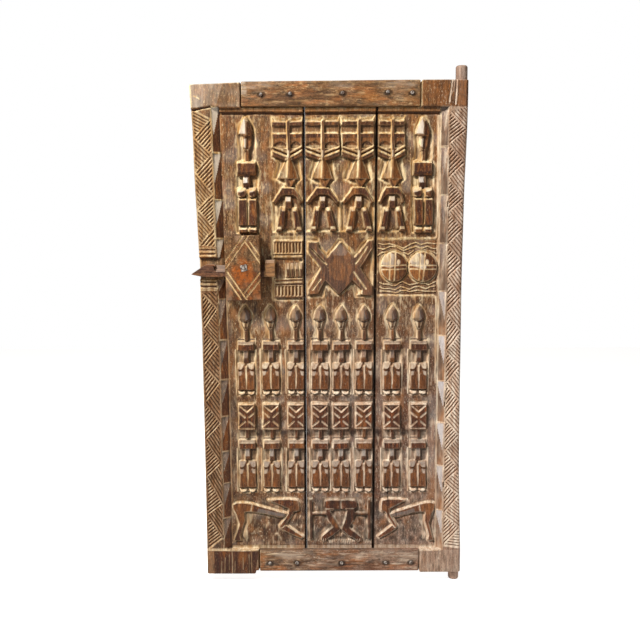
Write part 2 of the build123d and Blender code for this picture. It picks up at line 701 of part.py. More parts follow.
with BuildPart() as lock_case:
    with BuildSketch(front_plane(CASE_BACK)):
        with BuildLine():
            Polyline(*CASE_OUTLINE, close=True)
        make_face()
    extrude(amount=CASE_BACK - CASE_FRONT)
    chamfer(lock_case.faces().sort_by(Axis.Y)[0].edges(), 1.5)
    with BuildSketch(front_plane(CASE_BACK)):
        with BuildLine():
            Polyline(*CASE_LIP, close=True)
        make_face()
    extrude(amount=CASE_BACK - CASE_LIP_FRONT)
    # channel for the bolt, open to the door behind
    with BuildSketch(front_plane(CASE_BACK)):
        with Locations((-635.0, (CHANNEL_LOW + CHANNEL_HIGH) / 2)):
            Rectangle(140.0, CHANNEL_HIGH - CHANNEL_LOW)
    extrude(amount=CASE_BACK - CHANNEL_FRONT, mode=Mode.SUBTRACT)
    # one shaft for each tumbler above the channel
    shaft_width = 2 * (TUMBLER_RADIUS + TUMBLER_PLAY)
    with BuildSketch(front_plane(CASE_BACK)):
        for x in TUMBLER_X:
            with Locations((x, (CHANNEL_HIGH - 1 + SHAFT_TOP) / 2)):
                Rectangle(shaft_width, SHAFT_TOP - CHANNEL_HIGH + 1)
    extrude(amount=CASE_BACK - TUMBLER_Y + TUMBLER_RADIUS + TUMBLER_PLAY, mode=Mode.SUBTRACT)
    with BuildSketch(front_plane(CASE_BACK)):
        with BuildLine():
            Polyline(*nail_outline(LOCK_NAIL_AT, LOCK_NAIL + 2 * NAIL_PLAY), close=True)
        make_face()
    extrude(amount=CASE_BACK - CASE_FRONT + 1, mode=Mode.SUBTRACT)
    # double lines of the carved diamond
    with BuildSketch(front_plane(CASE_FRONT)):
        for start, end in DIAMOND_LINES:
            with BuildLine():
                Polyline(*groove_outline(start, end), close=True)
            make_face()
    extrude(amount=-CARVED_DEPTH, mode=Mode.SUBTRACT)

bolt_profile = [
    (-788.0, 919.5), (-766.0, 934.0), (-754.0, 942.0), (-742.0, BOLT_HEAD_TOP),
    (-724.0, BOLT_HEAD_TOP), (-717.0, BOLT_TOP), (BOLT_STOP_LEFT, BOLT_TOP),
    (BOLT_STOP_LEFT, BOLT_STOP_TOP), (BOLT_STOP_RIGHT, BOLT_STOP_TOP),
    (BOLT_STOP_RIGHT, BOLT_FOOT), (-750.0, BOLT_FOOT), (-767.0, 913.0), (-788.0, 917.5),
]
bolt_incision = [(-724.0, 942.0), (-720.0, 942.0), (-714.5, 928.0), (-718.5, 928.0)]
slot_left = LOCK_NAIL_AT[0] - THROW_RIGHT - LOCK_NAIL / 2 - 0.5
slot_right = LOCK_NAIL_AT[0] + THROW_LEFT + LOCK_NAIL / 2 + 0.5
with BuildPart() as lock_bolt:
    with BuildSketch(front_plane(BOLT_BACK)):
        with BuildLine():
            Polyline(*bolt_profile, close=True)
        make_face()
    extrude(amount=BOLT_BACK - BOLT_FRONT)
    # the bar's upper front edge is cut back to a long slope
    with BuildSketch(Plane.YZ.offset(-717.0)):
        with BuildLine():
            Polyline((BOLT_FRONT - 1, 924), (BOLT_FRONT + 14, BOLT_TOP), (BOLT_FRONT - 1, BOLT_TOP), close=True)
        make_face()
    extrude(amount=BOLT_STOP_LEFT + 717.0, mode=Mode.SUBTRACT)
    with BuildSketch(Plane.YZ.offset(BOLT_STOP_LEFT)):
        with BuildLine():
            Polyline(
                (BOLT_FRONT, BOLT_STOP_TOP - 9), (BOLT_FRONT + 6, BOLT_STOP_TOP),
                (BOLT_FRONT, BOLT_STOP_TOP), close=True,
            )
        make_face()
    extrude(amount=BOLT_STOP_RIGHT - BOLT_STOP_LEFT, mode=Mode.SUBTRACT)
    with BuildSketch(front_plane(BOLT_FRONT)):
        with BuildLine():
            Polyline(*bolt_incision, close=True)
        make_face()
    extrude(amount=-7.0, mode=Mode.SUBTRACT)
    # slot along the bar, where the lock's nail passes through it
    with BuildSketch(front_plane(BOLT_BACK)):
        with Locations(((slot_left + slot_right) / 2, LOCK_NAIL_AT[1])):
            Rectangle(slot_right - slot_left, LOCK_NAIL + 1.0)
    extrude(amount=BOLT_BACK - BOLT_FRONT, mode=Mode.SUBTRACT)
    # key slot from the stop's end, under the tumblers' holes
    with BuildSketch(Plane.YZ.offset(KEY_SLOT_END)):
        with Locations((TUMBLER_Y, KEY_SLOT_FLOOR + KEY_SLOT_HEIGHT / 2)):
            Rectangle(KEY_SLOT_WIDTH, KEY_SLOT_HEIGHT)
    extrude(amount=BOLT_STOP_RIGHT - KEY_SLOT_END, mode=Mode.SUBTRACT)
    with BuildSketch(Plane.XY.offset(KEY_SLOT_FLOOR + 1)):
        with Locations(*[(x + THROW_LEFT, TUMBLER_Y) for x in TUMBLER_X]):
            Circle(TUMBLER_RADIUS + TUMBLER_PLAY)
    extrude(amount=BOLT_TOP - KEY_SLOT_FLOOR, mode=Mode.SUBTRACT)

with BuildPart() as lock_washer:
    with BuildSketch(front_plane(CASE_FRONT)):
        with Locations(LOCK_NAIL_AT):
            Rectangle(WASHER_SIZE, WASHER_SIZE, rotation=WASHER_TURN)
            Rectangle(LOCK_NAIL + 2 * NAIL_PLAY, LOCK_NAIL + 2 * NAIL_PLAY, mode=Mode.SUBTRACT)
    extrude(amount=WASHER_THICKNESS)

with BuildPart() as lock_nail:
    with BuildSketch(front_plane(BACK)):
        with BuildLine():
            Polyline(*nail_outline(LOCK_NAIL_AT, LOCK_NAIL), close=True)
        make_face()
    extrude(amount=BACK - CASE_FRONT + WASHER_THICKNESS)
    with BuildSketch(front_plane(BACK)):
        with BuildLine():
            Polyline(*clinch_outline(LOCK_NAIL_AT, LOCK_NAIL, 0, -1), close=True)
        make_face()
    extrude(amount=CLINCH_THICKNESS)
    with BuildSketch(front_plane(CASE_FRONT - WASHER_THICKNESS)):
        with Locations(LOCK_NAIL_AT):
            RegularPolygon(NAIL_HEAD / 2, 6)
    extrude(amount=NAIL_HEAD_HEIGHT, taper=20)

tumblers = []
for x in TUMBLER_X:
    with BuildPart() as tumbler:
        with BuildSketch(Plane.XY.offset(TUMBLER_FOOT)):
            with Locations((x, TUMBLER_Y)):
                Circle(TUMBLER_RADIUS)
        extrude(amount=TUMBLER_LENGTH)
        chamfer(tumbler.faces().sort_by(Axis.Z)[0].edges(), 0.6)
    tumblers.append(tumbler)

# ---------------------------------------------------------------- files
pieces = {
    "lock_plank": lock_plank,
    "centre_plank": centre_plank,
    "hinge_plank": hinge_plank,
    "top_rail": top_rail,
    "bottom_rail": bottom_rail,
    "top_rail_nails": top_rail_nails,
    "bottom_rail_nails": bottom_rail_nails,
    "joint_pins": joint_pins,
    "lock_case": lock_case,
    "lock_bolt": lock_bolt,
    "lock_washer": lock_washer,
    "lock_nail": lock_nail,
}
for number, tumbler in enumerate(tumblers, start=1):
    pieces[f"tumbler_{number}"] = tumbler
for name, piece in pieces.items():
    piece.part.label = name
    export_step(piece.part, f"parts/{name}.step")
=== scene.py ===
import bpy
import functools
import math
import numpy as np
from mathutils import Matrix, Vector


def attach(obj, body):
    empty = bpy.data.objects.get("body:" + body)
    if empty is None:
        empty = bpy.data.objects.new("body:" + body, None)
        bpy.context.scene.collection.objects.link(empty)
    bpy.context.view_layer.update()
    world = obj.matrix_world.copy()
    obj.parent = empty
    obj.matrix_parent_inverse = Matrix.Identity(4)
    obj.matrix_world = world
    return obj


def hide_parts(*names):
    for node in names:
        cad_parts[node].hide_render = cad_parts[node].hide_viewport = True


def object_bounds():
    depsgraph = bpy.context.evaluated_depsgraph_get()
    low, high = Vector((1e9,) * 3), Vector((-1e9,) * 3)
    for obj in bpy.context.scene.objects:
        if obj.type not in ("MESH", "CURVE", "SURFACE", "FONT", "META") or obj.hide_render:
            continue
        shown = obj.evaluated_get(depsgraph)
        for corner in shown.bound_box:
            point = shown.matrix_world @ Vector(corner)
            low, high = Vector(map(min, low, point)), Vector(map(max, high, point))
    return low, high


# The looks of the granary door. Lengths are in mm until a mesh is made; seeds are fixed numbers.
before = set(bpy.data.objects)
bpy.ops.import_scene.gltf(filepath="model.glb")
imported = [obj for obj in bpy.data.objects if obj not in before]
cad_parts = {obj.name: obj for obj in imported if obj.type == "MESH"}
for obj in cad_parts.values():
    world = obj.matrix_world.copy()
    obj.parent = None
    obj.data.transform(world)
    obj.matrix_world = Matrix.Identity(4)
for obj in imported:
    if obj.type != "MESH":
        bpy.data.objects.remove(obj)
cad_lo, cad_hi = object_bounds()

# ---------------------------------------------------------------- levels and edges, in mm
MM = 0.001
BACK, GROUND = 20.0, -9.0       # Y of the flat back and of the carved ground
STEP = 1.6                      # spacing of the carved surface's points
STILE, BLOCK = 15.5, 17.0       # heights over the ground
FIELD_TOP, FIELD_BOTTOM = 1400.0, 72.0
HINGE_STILE = -38.0
ROW_DROP = 302.0                # from the first row of small figures to the second
LEAN = 4.8                      # how much wider the outer planks are at the back

# the leaf's hewn edges and the left stile's inner edge, as (z, x)
LOCK_EDGE = [(-4, -760.5), (350, -761.2), (750, -763.0), (1000, -768.0), (1215, -777.0), (1330, -778.5),
             (1400, -783.0), (1462, -787.0)]
HINGE_EDGE = [(0, 18), (72, 18), (120, 16.5), (310, 10.5), (620, 8.5), (900, 8), (1170, 11.5), (1330, 17),
              (1400, 18), (1474, 18)]
LOCK_STILE = [(72, -709.0), (700, -711.5), (1400, -725.5)]
TOP_NAILS = [(-580, 1433), (-496, 1435), (-345, 1437), (-215, 1439), (-145, 1437)]
BOTTOM_NAILS = [(-568, 31), (-485, 32), (-348, 31), (-213, 32), (-135, 33)]
LOCK_NAIL = (-632, 937)


def smooth_edge(points):
    """A smooth function of z through (z, x) points."""
    zs, xs = np.array(points, float).T
    fine = np.linspace(zs[0], zs[-1], 400)
    kernel = np.hanning(41)
    padded = np.pad(np.interp(fine, zs, xs), 20, mode="edge")
    smooth = np.convolve(padded, kernel / kernel.sum(), mode="valid")
    return lambda z: np.interp(z, fine, smooth)


lock_edge = smooth_edge(LOCK_EDGE)
hinge_edge = smooth_edge(HINGE_EDGE)


def lock_stile(z):
    """X of the left stile's inner edge."""
    return np.interp(z, *np.array(LOCK_STILE, float).T)


def straight(x):
    """An edge that stays at x."""
    return lambda z: x + 0 * np.asarray(z, float)


def joint_x(z):
    """The middle of the joint between the centre and the hinge plank."""
    return -250.4 + (z - FIELD_BOTTOM) / (FIELD_TOP - FIELD_BOTTOM) * 5.4


# ---------------------------------------------------------------- smooth noise
@functools.cache
def lattice(shape, seed):
    """Random numbers on a grid, always the same for a seed."""
    return np.random.default_rng(seed).random(shape)


def noise(X, Z, sx, sz, seed):
    """Smooth value noise, -1 to 1, with cells of sx by sz mm."""
    u, v = X / sx + 1000, Z / sz + 1000
    iu, iv = np.floor(u).astype(int), np.floor(v).astype(int)
    fu, fv = u - iu, v - iv
    fu, fv = fu * fu * (3 - 2 * fu), fv * fv * (3 - 2 * fv)
    grid = lattice((256, 256), seed)
    a, b = grid[iv % 256, iu % 256], grid[iv % 256, (iu + 1) % 256]
    c, d = grid[(iv + 1) % 256, iu % 256], grid[(iv + 1) % 256, (iu + 1) % 256]
    return ((a * (1 - fu) + b * fu) * (1 - fv) + (c * (1 - fu) + d * fu) * fv) * 2 - 1


def chips(X, Z, size, seed):
    """Shallow scallops left by a tool: the least distance to jittered points, 0 to 1."""
    iu, iv = np.floor(X / size).astype(int), np.floor(Z / size).astype(int)
    jitter = lattice((256, 256, 2), seed)
    best = np.full(X.shape, 9.0)
    for du in (-1, 0, 1):
        for dv in (-1, 0, 1):
            cell = jitter[(iv + dv) % 256, (iu + du) % 256]
            px = (iu + du + cell[..., 0]) * size
            pz = (iv + dv + cell[..., 1]) * size
            best = np.minimum(best, np.hypot((X - px) / size, (Z - pz) / size))
    return np.clip(best, 0, 1)


def smoothstep(a, b, v):
    """0 where v is at a, 1 where it is at b, and smooth between."""
    t = np.clip((v - a) / (b - a), 0, 1)
    return t * t * (3 - 2 * t)


def segment(X, Z, a, b):
    """Distance from each point to the stretch from a to b."""
    ex, ez = b[0] - a[0], b[1] - a[1]
    t = np.clip(((X - a[0]) * ex + (Z - a[1]) * ez) / (ex * ex + ez * ez), 0, 1)
    return np.hypot(X - a[0] - t * ex, Z - a[1] - t * ez)


def span(hits):
    """The slice from the first true entry to the last, empty when there is none."""
    found = np.flatnonzero(hits)
    return slice(found[0], found[-1] + 1) if len(found) else slice(0, 0)


# ---------------------------------------------------------------- relief
MASKS = ("pale", "face", "shine", "rub", "deep")


class Relief:
    """Heights h over the ground, in mm, and the masks that colour each point of a plank's front.

    pale is cream dust and bare wood, and also painted light where shaded() pales the walls facing the lamp;
    face is a dark polished face; shine is a greyish sheen, partly worn grey wood and partly a painted
    highlight for reflected light; rub is an orange rubbed patch, and also painted shade in warm brown where
    shaded() adds it; deep is a near-black darkening, partly grime in cracks, joints and hollows and partly
    painted shade and painted shadow; and clean keeps dust off. Outlines, and the X and Z that a height
    function gets, are measured from origin.
    """

    def __init__(self, X, Z):
        self.grid_x, self.grid_z = X, Z
        # a hand-cut pattern: every outline wanders by a millimetre or so
        self.X = X + 1.3 * noise(X, Z, 47, 61, 41) + 0.5 * noise(X, Z, 13, 17, 42)
        self.Z = Z + 1.2 * noise(X, Z, 53, 43, 43) + 0.5 * noise(X, Z, 15, 12, 44)
        self.origin = (0.0, 0.0)
        self.level = None
        for name in ("h", "clean", *MASKS):
            setattr(self, name, np.zeros(X.shape))

    def window(self, points, pad):
        """The part of the grid near some points; it is empty when they are on another plank."""
        points = np.asarray(points, float) + self.origin
        x0, z0 = points.min(0) - pad - 2
        x1, z1 = points.max(0) + pad + 2
        rows = span((self.grid_z[:, 0] >= z0) & (self.grid_z[:, 0] <= z1))
        part = self.grid_x[rows]
        return rows, span((part.max(0, initial=-np.inf) >= x0) & (part.min(0, initial=np.inf) <= x1))

    def at(self, win):
        """The places of a window's points, as the wandering outlines see them."""
        return self.X[win], self.Z[win]

    def depth(self, points, X, Z):
        """Distance to an outline, positive inside."""
        P = np.asarray(points, float) + self.origin
        best = np.full(X.shape, 1e9)
        inside = np.zeros(X.shape, bool)
        for (ax, az), (bx, bz) in zip(P, np.roll(P, -1, 0)):
            best = np.minimum(best, segment(X, Z, (ax, az), (bx, bz)))
            if az != bz:
                inside ^= ((az > Z) != (bz > Z)) & (X < (bx - ax) * (Z - az) / (bz - az) + ax)
        return np.where(inside, best, -best)

    def height(self, top, X, Z):
        """A height given as a number, or as a function of the places from the origin."""
        return top(X - self.origin[0], Z - self.origin[1]) if callable(top) else top

    def blend(self, win, take, **masks):
        """Takes masks towards new values, by the share take."""
        for name, value in masks.items():
            field = getattr(self, name)
            field[win] = field[win] * (1 - take) + value * take

    def form(self, points, top, wall=2.0, face=1.0, shine=0.0, pale=0.0, least=-99.0, true_place=False):
        """Raises the inside of an outline to top, a number or a function of x and z."""
        win = self.window(points, 3)
        X, Z = (self.grid_x[win], self.grid_z[win]) if true_place else self.at(win)
        t = np.clip((self.depth(points, X, Z) + 0.35 * noise(X, Z, 9, 9, 11)) / wall + 0.5, 0, 1)
        base = self.h[win]
        new = base + (np.maximum(self.height(top, X, Z), least) - base) * t
        self.h[win] = np.where(t > 0, np.maximum(new, base), base)
        self.blend(win, smoothstep(0.3, 1.0, t), face=face, pale=pale, shine=shine)

    def cut(self, points, floor, wall=2.0, pale=0.0, face=0.0):
        """Lowers the inside of an outline to floor."""
        win = self.window(points, 3)
        X, Z = self.at(win)
        t = np.clip((self.depth(points, X, Z) + 0.35 * noise(X, Z, 9, 9, 12)) / wall + 0.5, 0, 1)
        base = self.h[win]
        self.h[win] = np.minimum(base, base + (self.height(floor, X, Z) - base) * t)
        self.blend(win, smoothstep(0.2, 1.0, t), face=face, pale=pale, shine=0.0)

    def moat(self, points, deep=4.0, slope=0.55, pale=0.9, inner=0.35, width=None):
        """A sunken bed whose floor slopes down from its outline, with a bare rim."""
        win = self.window(points, 3)
        X, Z = self.at(win)
        d = self.depth(points, X, Z) + 1.2 * noise(X, Z, 14, 14, 13)
        drop = np.clip(d * slope, 0, deep)
        take = smoothstep(-0.6, 1.0, d)
        if width is not None:
            drop = drop * (1 - smoothstep(width, width * 2.0, d))
            take = take * (1 - smoothstep(width, width * 1.7, d))
        self.h[win] = np.minimum(self.h[win], np.where(d > 0, -drop, self.h[win]))
        rim = 1 - smoothstep(3.0, 8.0, d)
        worn_off = 0.80 + 0.40 * noise(X, Z, 11, 22, 16)
        self.pale[win] = np.maximum(self.pale[win], (inner + (pale - inner) * rim) * take * worn_off)

    def line(self, points, width, height, pale=0.0, **masks):
        """A ridge, or with a negative height a groove, along a row of points."""
        points = np.asarray(points, float)
        for a, b in zip(points[:-1], points[1:]):
            win = self.window([a, b], width / 2 + 3)
            X, Z = self.at(win)
            dist = segment(X, Z, a + self.origin, b + self.origin) + 0.3 * noise(X, Z, 8, 8, 14)
            k = smoothstep(width / 2 + 0.8, width / 2 - 0.8, dist)
            base = self.h[win]
            rise = height if self.level is None else self.level[win] + height - base
            self.h[win] = base + rise * k
            self.blend(win, k, pale=pale, **masks)

    def tone(self, points, **masks):
        """Recolours the inside of an outline without moving it."""
        win = self.window(points, 2)
        X, Z = self.at(win)
        take = smoothstep(-1.0, 1.2, self.depth(points, X, Z) + 0.8 * noise(X, Z, 10, 14, 18))
        self.blend(win, take, **masks)

    def outlined(self, points, top, wall=2.2, closed=True, pale=0.9):
        """A raised shape whose edge is rubbed pale."""
        self.form(points, top, wall)
        self.line(points + points[:1] if closed else points[:-1], 2.8, 0.0, pale=pale, face=0)


def ramp(z, rate, start, cap):
    """A plane that rises downwards from start at height z, up to cap."""
    return lambda X, Z: np.minimum(start + (z - Z) * rate, cap)


def bent(z, start, rate, knee, level, fall):
    """A surface that rises downwards from start at height z, and falls again from level below the knee."""
    return lambda X, Z: np.where(Z > knee, start + (z - Z) * rate, level - (knee - Z) * fall)


def gable(left, right, start, rate, cap_z, cap_rate=0.5):
    """A cap that slopes up from both sides, left and right of the origin, and down from cap_z."""
    def top(X, Z):
        sides = np.minimum(start + (X - left) * rate[0], start + (right - X) * rate[1])
        return np.minimum(sides, 3 + (cap_z - Z) * cap_rate)
    return top


def box(x0, x1, z0, z1):
    """The corners of an upright rectangle."""
    return [(x0, z0), (x1, z0), (x1, z1), (x0, z1)]


def oval(cx, cz, rx, rz, count=36):
    """Points round an oval."""
    turn = np.linspace(0, 2 * math.pi, count, endpoint=False)
    return [(cx + rx * math.cos(a), cz + rz * math.sin(a)) for a in turn]


# ---------------------------------------------------------------- figures
def body(R, low):
    """Shoulders, trunk, legs and feet of a small standing figure; low is for the second row's tones."""
    R.moat(box(-28, 29, 550, 726), 3.8, 1.0, 0.95, 0.40)
    # painted shadow: the floor right of the trunk is made darker and less pale
    R.tone(box(10, 25, 652, 690), pale=0.15, deep=0.2)
    R.form(box(-7.5, 8, 652, 696), bent(696, 4, 0.15, 665, 8.5, 0.6), face=0.9)
    # the trunk's greyish painted highlight
    R.tone(box(-7, 7, 667, 690), shine=0.5 if low else 0.2, face=0.5)
    R.form(box(-24.5, 25, 689.5, 717), ramp(717, 1.25, 1, 11.5), 1.8)
    # the shoulders' upward bevel: a greyish painted highlight, kept clear of dust
    R.tone(box(-25, 26, 708, 725), pale=0.12, face=0.2, shine=0.22, clean=0.95)
    R.line([(-25, 718), (26, 718)], 3.2, 0.2, pale=0.9)
    R.line([(-22, 709.5), (23, 709.5)], 2.2, 0.2, pale=0.4, shine=0.3)
    # the legs are two flat panels either side of a pale spike
    R.form(box(-5, 6, 572, 642), 7.0, face=0.0, pale=0.8)
    for side in (-1, 1):
        outer = 0.3 + side * 25.8
        R.line([(side * 31, 690), (side * 30.5, 556)], 3.2, 2.2, pale=1.0, face=0)
        leg = [(outer, 651), (outer, 570), (0.5 + side * 0.5, 570), (0.5 + side * 2.2, 612),
               (0.5 + side * 2.2, 651)]

        def level(X, Z, side=side, outer=outer):
            inward = np.clip((outer - X) * side / 22, 0, 1)
            brow = 632 + 26 * np.clip(inward - 0.45, 0, 1) ** 1.5
            hip = 1 + (651 - Z) * 0.5
            thigh = np.clip(4.5 + (627 - Z) * 0.4, 4.5, 9.5)
            return np.where(Z > brow, np.minimum(hip, 9.5), thigh)

        R.form(leg, level, 1.5)
        R.tone(leg, deep=0.15, rub=0.35)
        # the hips' upward half-moons and the thighs' tops get a painted highlight: pale with a greyish sheen
        moon = [(outer - side * 1.5, 649), (side * 4.5, 649), (outer - side * 13, 634),
                (outer - side * 5, 633), (outer - side * 1.5, 638)]
        R.tone(moon, pale=0.1 if low else 0.65, face=0.2, shine=0.4, clean=1.0)
        R.tone([(outer - side * 2, 625), (outer - side * 13, 627), (outer - side * 10, 615),
                (outer - side * 3, 613)], pale=0.3, face=0.2, shine=0.4, clean=0.8)
        foot = [(outer, 567), (side * 2, 567), (side * 4, 558), (outer - side * 11, 553.5),
                (outer - side * 3, 557)]
        R.form(foot, ramp(568, 0.9, 1, 9))
        # the feet's upward tops: pale, with a painted highlight
        R.tone(foot, pale=0.8, face=0, shine=0.4)


def headed(R, x):
    """A small figure with a pointed cap."""
    R.origin = (x, 0.0)
    halo = [(-27, 722), (-16, 733), (-12, 750), (-18, 768), (-23, 779), (-24, 793), (-18, 812),
            (-8, 826), (0, 831), (8, 826), (18, 811), (23, 793), (22, 779), (17, 768),
            (12, 750), (16, 733), (28, 722)]
    R.moat(halo, 3.2, 0.7, 1.0, 0.75)
    body(R, low=False)
    jaw = [(-16, 786), (17, 786), (13, 768), (6, 749), (-5, 749), (-12, 768)]
    R.form(jaw, 4.5, 1.8, face=0.95)
    R.tone(jaw, deep=0.45)
    for side in (-1, 1):
        cheek = [(side * 4, 779), (side * 12, 780), (side * 10.5, 771), (side * 4.5, 756), (side * 3, 760)]
        R.form(cheek, 6.0, 1.6, face=0.0, pale=(0.95, 0.5)[side > 0], shine=0.2)
        R.tone(cheek, clean=0.7, deep=0)
        R.line([(side * 17, 783), (side * 13.5, 768), (side * 7.5, 750)], 2.4, 0.8, pale=0.75, deep=0)
    R.form(box(-2.5, 3.5, 760, 783), 9.0, face=0.9, pale=0.02)
    R.tone(box(-3, 4, 758, 783), deep=0.5, rub=0.2)
    R.line([(-4, 756), (0, 753.5), (5, 756)], 2.2, 0.8, pale=0.6, face=0.2)
    R.form(box(-5, 6, 720, 750), 6.5, face=0.9)
    cap = [(-17.5, 783), (-16, 796), (-10, 811), (-1, 824), (3, 824), (12, 811),
           (17, 797), (18.5, 784), (10, 779), (0, 776), (-9, 779)]
    R.form(cap, gable(-17, 18, 4, (0.62, 0.62), 828), 1.6, face=0.8)
    R.tone([(-16, 784), (-14, 797), (-1, 821), (0, 800), (-1, 778)], face=0.8, rub=0.35, pale=0.04,
           shine=0.12)
    R.tone([(1, 779), (1, 820), (13, 800), (15, 786)], shine=0.1, face=1.0, deep=0.15)
    R.tone([(1, 780), (1, 806), (8, 783)], shine=0.4)
    # a painted shadow under the cap's rim
    R.line([(-16, 780.5), (-8, 776), (0, 773), (9, 776), (17, 780.5)], 2.6, -0.6, deep=0.9)


def shielded(R, x):
    """A small figure behind a crossed shield."""
    R.origin = (x, 0.0)
    R.moat(box(-28, 28, 420, 534), 3.8, 1.0, 0.9, 0.25)
    R.origin = (x, -ROW_DROP)
    body(R, low=True)
    R.origin = (x, 0.0)
    R.form(box(-5, 6, 420, 452), 5.5)
    R.form(box(-25, 25, 447, 530), ramp(530, 2.4, 2, 12.5), 1.8)
    R.tone(box(-24, 24, 523.5, 528), pale=0.6, face=0, clean=0.5)
    R.cut([(-20, 521), (20, 521), (1, 502)], 8.0, 1.5, face=0.6)
    R.line([(-20, 520), (0, 502.5), (20, 520)], 3.2, 0.3, pale=0.8, face=0)
    R.form([(-9, 519), (9, 519), (0, 510)], 10.5, 1.2)
    R.line([(-24, 452), (24, 452)], 3.4, -2.5, pale=0.7, face=0)
    for sx, upper, lower in ((-1, 502, 487), (1, 502, 487), (-1, 459, 474), (1, 459, 474)):
        R.line([(sx * 24, upper), (sx * 6, lower)], 3.8, -3.0, pale=0.8, face=0)


def tall(R, x, tip):
    """One of the two large figures below the top rail; tip is how far its halo reaches up."""
    R.origin = (x, 0.0)
    halo = [(-26, 1246), (-25, 1290), (-29, 1322), (-22, 1352), (-10, 1376), (-2, tip),
            (6, 1378), (18, 1362), (27, 1336), (30, 1300), (29, 1246)]
    R.moat(halo, 6, 0.7, 0.95, 0.4)
    R.tone(box(8, 27, 1250, 1320), pale=0.12, rub=0.45)
    R.moat([(-33, 1036), (35, 1036), (35, 1200), (44, 1214), (33, 1248), (-33, 1250)], 5, 1.0, 0.9,
           0.25)
    R.tone(box(-30, -14, 1172, 1204), pale=0.55)
    R.form([(-15, 1322), (18, 1322), (14, 1292), (7, 1275), (-6, 1275), (-11, 1292)],
           lambda X, Z: 4 + 7 * np.clip(1 - np.abs(X + 3) / 8, 0, 1), 2.2, face=0.7)
    # a greyish painted highlight on the nose
    R.tone([(-9, 1288), (-7, 1309), (1, 1310), (-1, 1284)], face=0.1, pale=0.3, shine=0.85)
    R.tone([(-12, 1300), (-10, 1316), (-8, 1312), (-9, 1292)], face=0, pale=0.8)
    R.line([(-6, 1281), (6, 1281)], 2.6, -1.8, face=1.0, pale=0.1)
    R.form(box(-4, 8, 1240, 1280), 7)
    cap = [(-21, 1323), (-17, 1345), (-8, 1364), (-3, 1373), (3, 1372), (15, 1351),
           (22, 1327), (16, 1319), (0, 1317), (-12, 1319)]
    R.form(cap, gable(-22, 24, 4, (0.52, 0.6), 1378, 0.6), 1.8)
    # the cap's left facet, towards the lamp: a greyish-white painted highlight
    R.tone([(-19, 1325), (-14, 1346), (-3, 1369), (0, 1350), (0, 1323)], face=0.1, shine=0.85, pale=0.1)
    R.form(box(-11, 10, 1166, 1206), bent(1206, 3, 0.45, 1183, 13, 0.8))
    # the chest's upward square: a painted highlight
    R.tone(box(-10, 3, 1184, 1200), face=0, shine=1.0)
    R.form(box(-28, 28, 1205, 1247),
           lambda X, Z: np.minimum(np.minimum(1 + (1247 - Z) * 2.0, 15), 4 + (Z - 1203) * 0.85), 1.8)
    R.tone(box(-27, 27, 1240, 1246), face=0, pale=0.9)
    top = 1171
    for a, b in ((-27, -1), (5, 29)):
        hip = [(a + 4, 1141), (b - 4, 1143), (b, 1150), (b, top), (a, top), (a, 1148)]
        R.form(hip, ramp(top, 1.05, 1, 13), 2.2)
        # each hip's upward half-moon gets a painted highlight, and its front below painted shade
        R.tone([(a + 1, 1155), (a + 13, 1157), (b - 1, 1164), (b - 1, top - 1), (a + 1, top - 1)],
               face=0, shine=0.95, pale=0.5)
        R.tone([(a + 3, 1147), (b - 2, 1149), (b - 1, 1161), (a + 12, 1155)], deep=0.45)
        R.line([(a + 2, 1146), ((a + b) / 2, 1140.5), (b - 2, 1142)], 3.2, 0.8, pale=0.95, face=0)
    R.form(box(-2, 9, 1040, 1165), 6.0, face=0.0, pale=0.85)
    for a, b in ((-25, 2), (5, 30)):
        R.form([(a, 1060), (b, 1060), (b - (1.5 if a < 0 else 0), 1141), (a + (1.5 if a > 0 else 0), 1141)],
               ramp(1141, 1.5, 3, 13), 1.6)
        R.tone(box(a + 2, b - 2, 1134.5, 1140), pale=0.85, face=0)
        R.form([(a + 2, 1038), (b - 1, 1038), (b, 1060), (a, 1060)], ramp(1060, 0.9, 1, 12))
        # the feet's upward tops: pale with a painted highlight
        R.tone(box(a + 2, b - 2, 1047.5, 1059), pale=0.9, shine=0.6, face=0)
    R.tone(box(2, 5, 1062, 1140), pale=0.75, face=0)


def mask(R, x, left, right):
    """A small figure under a mask with two cross bars; left and right end its bars."""
    R.origin = (x, 0.0)
    mask_bars(R, left, right)
    mask_beak(R)
    mask_limbs(R, left, right)


